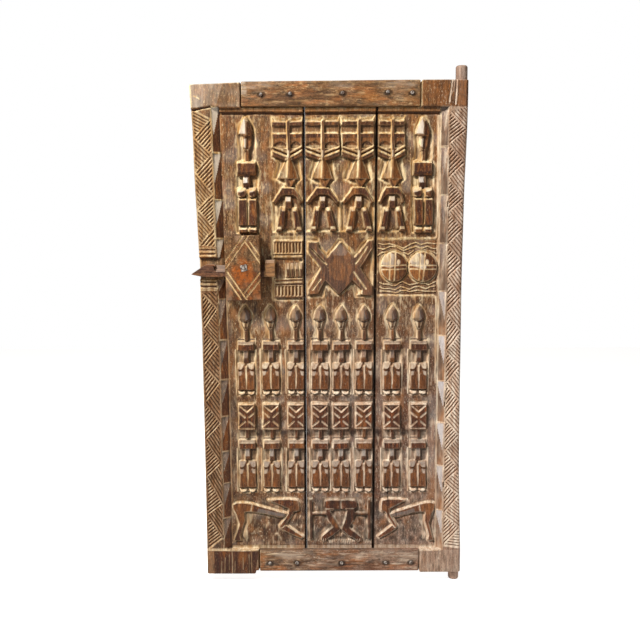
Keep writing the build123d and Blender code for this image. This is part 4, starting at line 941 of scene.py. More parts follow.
def stiles(R):
    """Both stiles with their mouldings and herringbone, and the ledges beside the bolt."""
    X, Z = R.X, R.Z

    def inner(z, off=0.0):
        return float(lock_stile(z)) + off

    stile = ((X <= lock_stile(Z)) | (X >= HINGE_STILE)) & (Z > 60) & (Z < 1410)
    R.h = np.where(stile, STILE + 0.35 * noise(X, Z, 40, 60, 6), R.h)
    for name, value in (("pale", 0.05), ("face", 0.45), ("shine", 0.0)):
        setattr(R, name, np.where(stile, value, getattr(R, name)))
    moulding(R, lock_stile, 1, LOCK_FACETS, lock_facet_sheen)
    moulding(R, straight(HINGE_STILE), -1, HINGE_FACETS, hinge_facet_sheen)
    left = (lambda z: lock_edge(z) + 4.0, lambda z: lock_stile(z) - 2.0)
    right = (lambda z: hinge_edge(z) - 2.0, straight(HINGE_STILE + 2.0))
    herringbone(R, *left, 0, ZIG_LOCK_HIGH, 0.34, 0.42)
    herringbone(R, *left, 1, ZIG_LOCK_LOW, 0.08, 0.75, -1)
    herringbone(R, *right, 0, ZIG_HINGE, np.clip(1.15 - R.grid_z / 1900, 0.5, 1.1), 0.14, -1)
    R.tone([(-36, 1399), (-36, 1386), (-22, 1379), (4, 1399)], pale=0.35, face=0.2, rub=0.4)
    R.line([(inner(z, 26), z) for z in (860, 600, 340, 90)], 4.0, 1.6, pale=0.35, face=0.1)
    strip = ((24, 860), (24, 340), (24, 90), (28, 90), (28, 340), (28, 860))
    R.tone([(inner(z, off), z) for off, z in strip], rub=0.8)
    for z0, z1, level in ((985, 991, 12.0), (973, 979, 12.0), (902, 911, 10.5), (892, 896, 12.0),
                          (878, 884, 12.0)):
        R.cut([(-800, z0), (inner(z0, -1), z0), (inner(z1, -1), z1), (-800, z1)], level, 1.6, face=1.0)
    for z in (993, 981.5, 970.5, 898.5, 888, 872):
        R.line([(-790, z), (inner(z, -2), z)], 3.4, 0.2, pale=0.55, face=0)
    R.cut([(-800, 902), (-688, 902), (-688, 966), (-800, 966)], 5.2, 3.0, face=0.25, pale=0.12)


def corners(R):
    """The corner blocks, and the flat places under the rails and the lock case."""
    for outline, face, pale in BLOCKS:
        R.form(outline, lambda X, Z: BLOCK - 0.7 + 0.5 * noise(X, Z, 60, 40, 21), 2.2, face=face, pale=pale,
               true_place=True)
    if R.X.min() < -700:
        adzed(R)
        R.form(box(-800, -700, 71, 79), ramp(81, 1.8, 1, BLOCK - 1), 1.5, face=0, pale=0.8)
        R.tone(box(-800, -602, -10, 70), deep=0.22)
        R.tone(box(-757, -739, 2, 70), rub=0.5, face=0.5, pale=0.1, deep=0.1)
        for k, x in enumerate(SPLITS):
            R.line([(x, 4 + 7 * (k % 3)), (x + 2 - k % 4, 40 + 9 * (k % 4))], 2.2, -0.7, pale=0.5)
    else:
        peg_band(R)
    R.cut([(-800, 1382), (-724, 1397), (-727, 1403), (-800, 1389)], 10.5, face=1.0)
    under_top = [(-638, 1398), (-118.7, 1398), (-118.7, 1490), (-638, 1490)]
    under_bottom = [(-601.2, -10), (-109.4, -10), (-109.4, 73), (-601.2, 73)]
    under_case = [(-682, 846), (-586, 848), (-590, 1029), (-685, 1025)]
    for outline, level in ((under_top, -0.3), (under_bottom, -0.3), (under_case, 4.0)):
        win = R.window(outline, 0)
        inside = R.depth(outline, R.grid_x[win], R.grid_z[win]) > 0
        R.h[win] = np.where(inside, level, R.h[win])


def carve(R):
    """The whole front of the door, on whichever plank R covers."""
    for work in (ground, field, borders, stiles, corners):
        work(R)
    X, Z = R.X, R.Z
    crack = smoothstep(0.72, 0.95, noise(X, Z, 2.6, 90, 8)) * smoothstep(-0.1, 0.5, noise(X, Z, 40, 120, 9))
    R.h -= 0.9 * crack
    R.deep += 0.8 * crack


# ---------------------------------------------------------------- planks
PLANK_LENGTH = 1470.0
MIDWAY = 700.0                  # the height at which a plank's width is taken
BACK_CELL = 9.0                 # spacing of the back's points
END_ROUND = 2.5                 # radius of the edges at a plank's ends
END_ZONE = 45.0                 # how far from an end the rows follow its step
TURNED_END = 32                 # length of the nails' ends, bent over at the back
JOINT = -457.0                  # the middle of the joint between the lock and the centre plank
HALF_GAP = 2.8                  # half a joint's width at the front


def blur(a, n):
    """The grid a, smoothed over n points to each side."""
    kernel = np.hanning(2 * n + 3)[1:-1]
    kernel /= kernel.sum()
    for axis in (0, 1):
        pad = [(0, 0), (0, 0)]
        pad[axis] = (n, n)
        b = np.pad(a, pad, mode="edge")
        a = sum(w * np.take(b, np.arange(a.shape[axis]) + i, axis=axis) for i, w in enumerate(kernel))
    return a


def shifted(a, rows, columns):
    """The grid moved so that each point holds the value rows above it and columns to its right."""
    i = np.clip(np.arange(a.shape[0]) + rows, 0, a.shape[0] - 1)
    j = np.clip(np.arange(a.shape[1]) + columns, 0, a.shape[1] - 1)
    return a[np.ix_(i, j)]


def quads(ids, flip=False):
    """The four-sided faces between the points of a grid of point numbers."""
    a, b, c, d = ids[:-1, :-1], ids[:-1, 1:], ids[1:, 1:], ids[1:, :-1]
    return np.stack((a, d, c, b) if flip else (a, b, c, d), -1).reshape(-1, 4).tolist()


def closed_rows(rows):
    """Rings of point numbers with each ring's first number repeated at its end."""
    rows = np.array(rows)
    return np.column_stack([rows, rows[:, 0]])


def make_mesh(name, points, faces, masks):
    """A smooth object of points in mm, with its colour masks."""
    mesh = bpy.data.meshes.new(name)
    mesh.from_pydata((points * MM).tolist(), [], faces)
    mesh.update()
    mesh.shade_smooth()
    set_masks(mesh, masks)
    obj = bpy.data.objects.new(name, mesh)
    bpy.context.scene.collection.objects.link(obj)
    return obj


def set_masks(mesh, masks):
    """Keeps each mask as a number at every point."""
    for name, values in masks.items():
        attribute = mesh.attributes.new(name, "FLOAT", "POINT")
        attribute.data.foreach_set("value", np.broadcast_to(values, len(mesh.vertices)).astype(np.float32))


def shaded(R, left, right, joints):
    """The front's masks with what its form adds: walls paled as bare wood and, where they face the lamp,
    as painted light; worn crests; dust; painted shade and painted shadow; and dark joints.
    """
    h, X, Z = R.h, R.grid_x, R.grid_z
    gz, gx = np.gradient(blur(h, 1), STEP)
    slope = np.hypot(gx, gz)
    # towards is how much a slope faces the lamp at the upper left; it drives the painted light and shade
    # below
    towards = (-0.85 * gz + 0.5 * gx) / (slope + 0.12)
    wall = smoothstep(0.30, 1.0, slope)
    # shade marks steep walls facing away from the lamp, where painted shade goes
    shade = smoothstep(0.9, 1.8, slope) * smoothstep(0.1, -0.8, towards)
    torn = 0.78 + 0.4 * noise(X, Z, 7, 16, 45)
    crest = smoothstep(0.2, 0.9, h - blur(h, 2))
    cavity = np.maximum(blur(h, 3), blur(h, 8) + 0.8) - h
    # a hollow is painted dark where a form stands above it or to its left: a painted shadow cast from the
    # lamp at the upper left
    under = smoothstep(1.5, 6.0, shifted(h, 6, -4) - h)
    swept = 1 - 0.9 * np.clip((R.clean - 0.5) / 0.4, 0, 1)
    # walls are paled a little as bare wood and much more where they face the lamp, as painted light; crests
    # likewise
    pale = R.pale + wall * np.clip(0.18 + 0.95 * towards, 0, 1) * torn * swept
    pale = np.maximum(pale, 0.6 * crest * np.clip(0.6 + 0.5 * towards, 0.2, 1) * torn)
    low = smoothstep(3.0, 1.0, h)
    dust = blur(np.clip(pale, 0, 1) * (0.3 + 0.7 * low), 5)
    dust = smoothstep(0.08, 0.58, dust + 0.22 * noise(X, Z, 9, 15, 46) + 0.16 * noise(X, Z, 3.5, 7, 47))
    pale = np.maximum(pale, 0.8 * dust * low * (1 - 0.7 * under) * (1 - R.clean))
    # painted shade: walls facing away from the lamp lose their pale and get warm brown and darkness; the
    # painted shadow darkens hollows below and right of forms
    pale = np.clip(pale, 0, 1) * (1 - 0.8 * shade)
    rub = R.rub + 0.5 * shade + 0.35 * under * low
    deep = R.deep + 0.75 * under * smoothstep(0.5, 2.5, cavity) + 0.25 * shade
    for faces_joint, distance in zip(joints, (X - left(Z), right(Z) - X)):
        if faces_joint:
            darkening = smoothstep(2.4, 0.6, distance)
            deep = deep + 0.8 * darkening
            pale = pale * (1 - darkening)
    tones = {"pale": pale, "face": R.face, "shine": R.shine, "rub": rub, "deep": deep}
    return {key: np.clip(values, 0, 1) for key, values in tones.items()}


def hewn(X, Z, margin):
    """Y of the back, hewn with an adze, flat at its margin and bruised round the nails' turned ends."""
    hew = 0.75 * chips(X, Z * 0.55, 26, 31) + 0.25 * (noise(X, Z, 30, 90, 32) + 1)
    Y = BACK - hew * np.clip(margin / 12, 0, 1)
    for nails, turn in ((TOP_NAILS + [LOCK_NAIL], -TURNED_END), (BOTTOM_NAILS, TURNED_END)):
        for x, z in nails:
            Y -= 2.2 * smoothstep(17, 5, segment(X, Z, (x, z), (x, z + turn)))
    return Y


def back_of(left, right, top, bottom, flare, joints):
    """A plank's back, coarser than its front: the points, their masks and their numbers from 0."""
    low, high, width = bottom(0.5), top(0.5), right(MIDWAY) - left(MIDWAY)
    rows, columns = int((high - low) / BACK_CELL), int(width / BACK_CELL)
    U, V = np.meshgrid(np.linspace(0, 1, columns), np.linspace(0, 1, rows))
    Z = bottom(U) + V * (top(U) - bottom(U))
    level = low + V * (high - low)
    X = left(level) - flare[0] + U * (right(level) - left(level) + sum(flare))
    margin = np.minimum(np.minimum(U, 1 - U) * width, np.minimum(V, 1 - V) * PLANK_LENGTH)
    seam = 0.75 * np.maximum(joints[0] * (U == 0), joints[1] * (U == 1))
    masks = {
        "pale": 0.10 + 0.16 * noise(X, Z, 30, 120, 33),
        "face": 0.45 + (0.35 * noise(X, Z, 70, 300, 34) + 0.2 * math.sin(left(0) / 60)),
        "shine": np.full(X.shape, 0.1),
        "rub": np.full(X.shape, 0.1),
        "deep": np.maximum(seam, 0.25 * noise(X, Z, 40, 160, 35)),
    }
    points = np.stack([X, hewn(X, Z, margin), Z], -1).reshape(-1, 3)
    return points, masks, np.arange(rows * columns).reshape(rows, columns)


def slab(name, left, right, top, bottom, rounding, flare, joints):
    """A closed plank: carved front, rounded edges and hewn back.

    left and right are functions of z, and top and bottom of the share of the width. rounding is the
    radius of the left and right edge, flare how much wider the back is on each side, and joints says
    which of the two edges face another plank.
    """
    low, high, width = bottom(0.5), top(0.5), right(MIDWAY) - left(MIDWAY)
    rows, columns = int(round((high - low) / STEP)) + 1, int(round(width / STEP)) + 1
    Z = np.repeat(np.linspace(low, high, rows)[:, None], columns, 1)
    U = np.repeat(np.linspace(0, 1, columns)[None], rows, 0)
    X = left(Z) + U * (right(Z) - left(Z))
    # only the rows near the two ends follow the ends' steps
    Z_true = Z + (bottom(U) - low) * np.clip(1 - (Z - low) / END_ZONE, 0, 1)
    Z_true += (top(U) - high) * np.clip(1 - (high - Z) / END_ZONE, 0, 1)
    R = Relief(X, Z)
    carve(R)
    for distance, radius in ((X - left(Z), rounding[0]), (right(Z) - X, rounding[1]),
                             (Z - Z.min(), END_ROUND), (Z.max() - Z, END_ROUND)):
        t = np.clip(1 - distance / radius, 0, 1)
        R.h -= radius * (1 - np.sqrt(1 - t * t))
    front = np.stack([X, GROUND - R.h, Z_true], -1).reshape(-1, 3)
    # the sides follow the front's border half way back and on the plane of the back
    grid = np.arange(rows * columns).reshape(rows, columns)
    loop = np.concatenate([grid[0], grid[1:, -1], grid[-1, -2::-1], grid[-2:0:-1, 0]])
    X_back = left(Z) - flare[0] + U * (right(Z) - left(Z) + sum(flare))
    rim = np.stack([X_back, np.full(X.shape, BACK), Z_true], -1).reshape(-1, 3)[loop]
    rings = len(front) + np.arange(2 * len(loop)).reshape(2, -1)
    edge = U.reshape(-1)[loop]
    facing = (joints[0] & (edge == 0)) | (joints[1] & (edge == 1))
    side_masks = {"pale": 0.10, "face": 0.45, "shine": 0.1, "rub": 0.1, "deep": 0.95 * facing}
    back, back_masks, sheet = back_of(left, right, top, bottom, flare, joints)
    masks = {}
    for key, values in shaded(R, left, right, joints).items():
        sides = np.tile(np.broadcast_to(side_masks[key], len(loop)), 2)
        masks[key] = np.concatenate([values.ravel(), sides, back_masks[key].ravel()])
    points = np.concatenate([front, (front[loop] + rim) / 2, rim, back])
    faces = quads(grid) + quads(closed_rows([loop, *rings]), True) + quads(sheet + rings[-1, -1] + 1, True)
    return make_mesh(name, points, faces, masks)


def stepped(level, rise=0.0, place=0.5):
    """An end of a plank at a level, with a step up by rise just after a share of its width."""
    return lambda u: level + rise * smoothstep(place, place + 0.01, u)


def peg(name, foot, tip, radius, seed):
    """A round pivot peg, worn by turning, from foot to tip."""
    rings, around = 28, 48
    t = np.linspace(0, 1, rings)[:, None]
    a = np.linspace(0, 2 * math.pi, around, endpoint=False)
    wear = 0.5 - 0.35 * (0.5 * np.cos(3 * a + seed) + 0.35 * np.cos(7 * a + 2 * seed))
    r = radius - np.maximum(0.0, 4.0 - abs(tip - foot) * (1 - t)) * 0.55 - wear
    points = np.stack([r * np.cos(a), r * np.sin(a), foot + (tip - foot) * t + 0 * a], -1).reshape(-1, 3)
    ids = np.arange(rings * around).reshape(rings, around)
    way = 1 if tip > foot else -1
    faces = quads(closed_rows(ids), tip < foot) + [ids[0, ::-way].tolist(), ids[-1, ::way].tolist()]
    return make_mesh(name, points, faces, {"pale": 0.22, "face": 0.5, "shine": 0.1, "rub": 0.3, "deep": 0.0})


lock_plank = slab("lock_plank_carved", lock_edge, straight(JOINT - HALF_GAP),
                  lambda u: 1462 + 5.5 * np.clip(u * 321 / 140, 0, 1), stepped(-3.8, 10.3, 0.49),
                  rounding=(4.0, 1.0), flare=(0, LEAN), joints=(False, True))
centre_plank = slab("centre_plank_carved", straight(JOINT + HALF_GAP), lambda z: joint_x(z) - HALF_GAP,
                    stepped(1467), stepped(6.5), rounding=(1.0, 1.0), flare=(0, 0), joints=(True, True))
hinge_plank = slab("hinge_plank_carved", lambda z: joint_x(z) + HALF_GAP, hinge_edge,
                   stepped(1470, 4, 0.48), stepped(6.5, -6.5, 0.52),
                   rounding=(1.0, 11.5), flare=(LEAN, 0), joints=(True, False))
pegs = [peg("upper_peg", 1470.0, 1516.0, 17.5, 1.0), peg("lower_peg", 4.0, -28.0, 16.5, 2.0)]
with bpy.context.temp_override(active_object=hinge_plank, selected_editable_objects=[hinge_plank, *pegs]):
    bpy.ops.object.join()


# ---------------------------------------------------------------- smaller pieces
def worn(node, name, voxel, relax, paint):
    """A hand-worn copy of a solid: its edges rounded, and every point moved and coloured by paint.

    paint takes points in mm, normals and the masks; it changes the masks and returns how far each
    point moves along its normal.
    """
    obj = bpy.data.objects.new(name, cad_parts[node].data.copy())
    bpy.context.scene.collection.objects.link(obj)
    remesh = obj.modifiers.new("remesh", "REMESH")
    remesh.mode = "VOXEL"
    remesh.voxel_size = voxel * MM
    mesh = bpy.data.meshes.new_from_object(obj.evaluated_get(bpy.context.evaluated_depsgraph_get()))
    obj.modifiers.clear()
    obj.data = mesh
    mesh.materials.clear()
    n = len(mesh.vertices)
    points, normals = np.empty(n * 3), np.empty(n * 3)
    mesh.vertices.foreach_get("co", points)
    mesh.vertices.foreach_get("normal", normals)
    points, normals = points.reshape(-1, 3) / MM, normals.reshape(-1, 3)
    edges = np.empty(len(mesh.edges) * 2, np.int64)
    mesh.edges.foreach_get("vertices", edges)
    degree = np.bincount(edges, minlength=n)
    a, b = edges.reshape(-1, 2).T

    def relaxed(values, times):
        """Each value moved half way to its neighbours' mean, so many times."""
        for _ in range(times):
            mean = (np.bincount(a, values[b], n) + np.bincount(b, values[a], n)) / degree
            values = values + 0.5 * (mean - values)
        return values

    start = points
    points = np.stack([relaxed(axis, relax) for axis in points.T], -1)
    wear = relaxed(((start - points) * normals).sum(1), 2) / voxel
    masks = {key: np.zeros(n) for key in MASKS}
    masks["face"] += 1
    masks["pale"] += smoothstep(0.10, 0.40, wear) * 0.7
    masks["deep"] += smoothstep(0.05, 0.3, -wear)
    points = points + normals * paint(points, normals, masks)[:, None]
    mesh.vertices.foreach_set("co", (points * MM).ravel())
    mesh.update()
    mesh.shade_smooth()
    set_masks(mesh, {key: np.clip(values, 0, 1) for key, values in masks.items()})
    return obj


# stains by mask: x, z, the two radii and the strength of each
TOP_STAINS = {
    "rub": [(-552, 1447, 30, 10, 0.6), (-466, 1449, 32, 24, 0.71), (-628, 1414, 11, 12, 0.6),
            (-600, 1452, 34, 12, 0.38), (-300, 1444, 48, 18, 0.6), (-235, 1420, 40, 14, 0.45),
            (-170, 1452, 34, 10, 0.4)],
    "shine": [(-629, 1452, 12, 22, 0.75), (-590, 1458, 50, 10, 0.45), (-345, 1460, 36, 9, 0.4),
              (-190, 1458, 44, 12, 0.45)],
    "deep": [(-410, 1452, 30, 10, 0.45), (-375, 1426, 20, 9, 0.5), (-330, 1404, 40, 6, 0.6)],
    "pale": [(-545, 1412, 27, 1.8, 0.9), (-470, 1415, 26, 2.6, 1.0), (-175, 1416, 20, 2.2, 0.8),
             (-300, 1464, 50, 2.0, 0.5)],
}
BOTTOM_STAINS = {"rub": [(-548, 12, 40, 9, 0.6), (-391, 58, 30, 9, 0.6), (-430, 20, 30, 10, 0.5),
                         (-300, 40, 40, 16, 0.5), (-180, 20, 40, 10, 0.5), (-590, 40, 9, 24, 0.6)],
                 "shine": [(-500, 56, 50, 14, 0.8), (-400, 22, 40, 10, 0.5), (-260, 54, 50, 14, 0.7),
                           (-150, 48, 40, 16, 0.8)], "deep": [(-557, 38, 26, 14, 0.6)],
                 "pale": [(-505, 29, 26, 2.4, 1.0), (-446, 27, 24, 1.8, 0.9), (-405, 44, 14, 2.2, 0.8),
                          (-300, 30, 26, 1.8, 0.7), (-240, 46, 22, 2.0, 0.8), (-180, 28, 24, 2.2, 0.9),
                          (-530, 50, 20, 2.0, 0.6), (-380, 10, 30, 2.4, 0.8), (-560, 60, 24, 2.4, 0.8),
                          (-480, 12, 20, 2.0, 0.7), (-340, 60, 26, 2.2, 0.7), (-150, 60, 24, 2.4, 0.8)]}
# the top rail's darker lower part ends along this line, as (x, z)
TOP_BORDER = [(-640, 1424), (-600, 1435), (-487, 1436), (-440, 1441), (-370, 1446), (-330, 1395)]
LOCK_LINES = [((-688, 955), (-633, 1032)), ((-684, 938), (-617, 1032)), ((-631, 1017), (-583, 948)),
              ((-616, 1015), (-584, 970)), ((-686, 912), (-640, 843)), ((-682, 928), (-624, 843)),
              ((-583, 927), (-634, 863)), ((-583, 905), (-626, 852))]
CASE_FACE = -50.0               # Y before which the lock case's front lies
CASE_SIDES = (-690.0, -575.0)   # X beyond which the bolt is outside the case


def stain(mask, X, Z, patches, seed):
    """Uneven oval patches of a colour mask."""
    for x, z, rx, rz, amount in patches:
        d = np.hypot((X - x) / rx, (Z - z) / rz) + 0.45 * noise(X, Z, rx * 0.6, rz * 0.8, seed)
        grain = 0.35 + 0.65 * smoothstep(-0.35, 0.45, noise(X, Z, 34, 3.6, seed + 1))
        np.maximum(mask, amount * grain * smoothstep(1.25, 0.55, d), out=mask)


def rail_paint(nails, stains, seed, border):
    """Adze facets along a rail, with the stains and scratches of use; its part below border(x) is darker."""
    def paint(points, normals, masks):
        X, Y, Z = points.T
        front = smoothstep(0.4, 0.8, -normals[:, 1])
        lower = smoothstep(2, -2, Z - border(X) - 2 * noise(X, X * 0, 30, 1, seed))
        masks["face"] = 0.30 + 0.45 * lower + 0.35 * noise(X, Z, 42, 16, seed + 6)
        for key, amount, low, high, sx, sz, step in (
                ("rub", 0.3, 0.2, 0.8, 40, 14, 1), ("deep", 0.25, 0.3, 0.9, 50, 18, 7),
                ("pale", 0.45, 0.45, 0.85, 15, 3.4, 11), ("deep", 0.4, 0.5, 0.85, 26, 3.4, 12)):
            masks[key] += amount * smoothstep(low, high, noise(X, Z, sx, sz, seed + step)) * front
        for key, patches in stains.items():
            stain(masks[key], X, Z, patches, seed + 8)
        # a dark ring round each nail, set a little right of and below it: the dark recess round the head, and
        # a painted shadow of the head
        for x, z in nails:
            d = np.hypot((X - x - 1) / 1.5, Z - z + 1.5) + 1.5 * noise(X, Z, 6, 6, seed + 9)
            masks["deep"] = np.maximum(masks["deep"], 0.9 * smoothstep(11, 6.5, d) * front)
        shift = -0.9 * lower * smoothstep(14, 0, border(X) - Z) * front
        return shift - (0.5 + 0.5 * noise(X, Z, 36, 11, seed + 4)) * front - 0.5 * masks["pale"] * front
    return paint


def case_paint(points, normals, masks):
    """The crossed double lines of the lock case, with an orange patch round its nail."""
    X, Y, Z = points.T
    front = smoothstep(0.4, 0.8, -normals[:, 1]) * (Y < CASE_FACE)
    away = np.hypot((X + 638) / 31, (Z - 924) / 44)
    patch = smoothstep(1.25, 0.55, away + 0.45 * noise(X, Z, 15, 17, 56))
    masks["face"] = 0.25 + 0.5 * noise(X, Z, 22, 40, 50) + 0.5 * smoothstep(960, 880, Z)
    lower = 0.15 + 0.4 * smoothstep(950, 850, Z)
    masks["rub"] += front * smoothstep(0.1, 0.8, noise(X, Z, 12, 24, 55)) * lower
    masks["rub"] = np.maximum(masks["rub"], front * patch * (0.85 + 0.3 * noise(X, Z, 8, 9, 57)))
    masks["deep"] += front * 0.5 * smoothstep(12, 5, np.hypot((X + 629) / 1.1, Z - 945))
    masks["deep"] += 0.35 * front * smoothstep(0.35, 0.9, noise(X, Z, 9, 46, 53)) * (1 - 0.6 * patch)
    masks["shine"] += 0.45 * front * smoothstep(0.25, 0.8, noise(X, Z, 26, 30, 52)) * (1 - patch)
    shift = -0.25 * (1 + noise(X, Z, 14, 30, 54)) * front
    # the tumblers' shafts keep clear of the tumblers though their corners are rounded
    shift -= 1.0 * ((np.abs(X + 604) < 16) & (Z > 950) & (Z < 1015) & (Y > -28))
    for a, b in LOCK_LINES:
        k = smoothstep(3.0, 1.3, segment(X, Z, a, b)) * front
        shift -= 1.4 * k
        for key in ("rub", "shine", "deep", "face"):
            masks[key] *= 1 - k
        masks["pale"] = np.maximum(masks["pale"], k)
    return shift


def bolt_paint(points, normals, masks):
    """The bolt's ends outside the case: a top painted paler and greyer as a highlight, and a rubbed
    right-hand end.
    """
    X, Y, Z = points.T
    end = X > CASE_SIDES[1]
    out = (X < CASE_SIDES[0]) | end
    # painted highlight on faces that point up
    upper = smoothstep(0.3, 0.9, normals[:, 2]) * out
    masks["shine"] += 0.6 * upper
    masks["pale"] += 0.35 * upper
    masks["rub"] += 0.35 * smoothstep(0.1, 0.8, noise(X, Z, 14, 9, 61)) * out + 0.75 * end
    masks["face"] *= np.where(end, 0.3, 1.0)
    return -0.12 * (1 + noise(X, Z, 20, 6, 62)) * out


def iron_paint(seed, bright=0.9, rough=0.8):
    """Hammered iron, painted brighter where it faces up and left, towards the lamp: painted light."""
    def paint(points, normals, masks):
        X, Y, Z = points.T
        lit = noise(X, Z, 5, 5, seed + 2) + 0.5 * normals[:, 2] - 0.5 * normals[:, 0]
        masks["pale"] = bright * smoothstep(-0.5, 0.5, lit)
        masks["deep"] = (0.8 if bright < 1 else 0.3) * smoothstep(0.1, 0.6, noise(X, Z, 6, 6, seed + 3))
        return rough * (noise(X, Z, 4.5, 4.5, seed) + 0.25 * noise(X, Z + Y, 1.8, 1.8, seed + 1)) - 0.6
    return paint


# ---------------------------------------------------------------- materials
def srgb(text):
    """A colour for a node from its six hexadecimal digits."""
    values = [int(text[i:i + 2], 16) / 255 for i in (0, 2, 4)]
    return tuple(v / 12.92 if v <= 0.04045 else ((v + 0.055) / 1.055) ** 2.4 for v in values) + (1.0,)


class Nodes:
    """Short names for building a tree of shader nodes."""

    def __init__(self, tree):
        self.tree = tree
        tree.nodes.clear()

    def fill(self, node, inputs):
        """Sets a node's inputs, by name or number, to constants or to other nodes' outputs."""
        for name, value in inputs.items():
            if isinstance(value, bpy.types.NodeSocket):
                self.tree.links.new(value, node.inputs[name])
            else:
                node.inputs[name].default_value = value

    def add(self, kind, inputs=None, **settings):
        """A new node's outputs."""
        node = self.tree.nodes.new("ShaderNode" + kind)
        for name, value in settings.items():
            setattr(node, name, value)
        self.fill(node, inputs or {})
        return node.outputs

    def attribute(self, name):
        """A colour mask."""
        return self.add("Attribute", attribute_name=name)["Fac"]

    def math(self, kind, a, b, clamp=False):
        return self.add("Math", {0: a, 1: b}, operation=kind, use_clamp=clamp)[0]

    def times(self, a, b):
        return self.math("MULTIPLY", a, b)

    def noise(self, scale, detail, rough, shift=(0, 0, 0), distort=0.0):
        place = self.add("Mapping", {"Vector": self.place, "Scale": scale, "Location": shift})[0]
        return self.add("TexNoise", {"Vector": place, "Scale": 1.0, "Detail": detail, "Roughness": rough,
                                     "Distortion": distort})["Fac"]

    def ramp(self, value, low, high, a=0.0, b=1.0):
        return self.add("MapRange", {"Value": value, "From Min": low, "From Max": high, "To Min": a,
                                     "To Max": b}, interpolation_type="SMOOTHSTEP")[0]

    def mix(self, share, a, b, blend="MIX"):
        return self.add("Mix", {0: share, 6: a, 7: b}, data_type="RGBA", blend_type=blend)[2]

    def bump(self, height, strength, distance, below=None):
        inputs = {"Strength": strength, "Distance": distance, "Height": height}
        if below is not None:
            inputs["Normal"] = below
        return self.add("Bump", inputs)[0]


class Finish(Nodes):
    """The nodes of a material, with its shader and the place on the object."""

    def __init__(self, name):
        self.material = bpy.data.materials.new(name)
        self.material.use_nodes = True
        super().__init__(self.material.node_tree)
        out = self.tree.nodes.new("ShaderNodeOutputMaterial")
        self.shader = self.tree.nodes.new("ShaderNodeBsdfPrincipled")
        self.tree.links.new(self.shader.outputs[0], out.inputs[0])
        self.place = self.add("TexCoord")["Object"]


def tinted(n, tones, foot, blotch, streak):
    """A wood's tones, greyer and redder towards the foot, and pinker on the hinge stile."""
    low, high, cream, dust, gloss = tones
    feet = {key: srgb(value) for key, value in foot.items()}
    place = n.add("SeparateXYZ", {0: n.place})
    down = n.math("ADD", place["Z"], n.times(blotch, 0.35))
    down = n.times(n.ramp(down, 0.62, 1.25, 1.0, 0.0), n.ramp(place["X"], -0.66, -0.35, 0.35, 1.0))
    rosy = n.math("MAXIMUM", n.times(down, 0.8), n.ramp(place["X"], -0.12, 0.0))
    low = n.mix(down, low, n.mix(n.ramp(blotch, 0.42, 0.62), feet["ground"], feet["patch"]))
    high = n.mix(down, high, n.mix(n.ramp(streak, 0.48, 0.70, 0, 0.85), feet["face"], feet["glow"]))
    cream = n.mix(rosy, cream, feet["cream"])
    dust = n.mix(rosy, dust, feet["dust"])
    gloss = n.mix(n.ramp(place["X"], -0.12, 0.0), gloss, feet["gloss"])
    corner = n.math("SUBTRACT", place["X"], n.times(place["Z"], 0.6))
    corner = n.ramp(corner, -0.45, -0.05, 0.0, 0.65)
    return n.mix(corner, low, srgb("a58a78")), n.mix(corner, high, srgb("8c5c40")), cream, dust, gloss


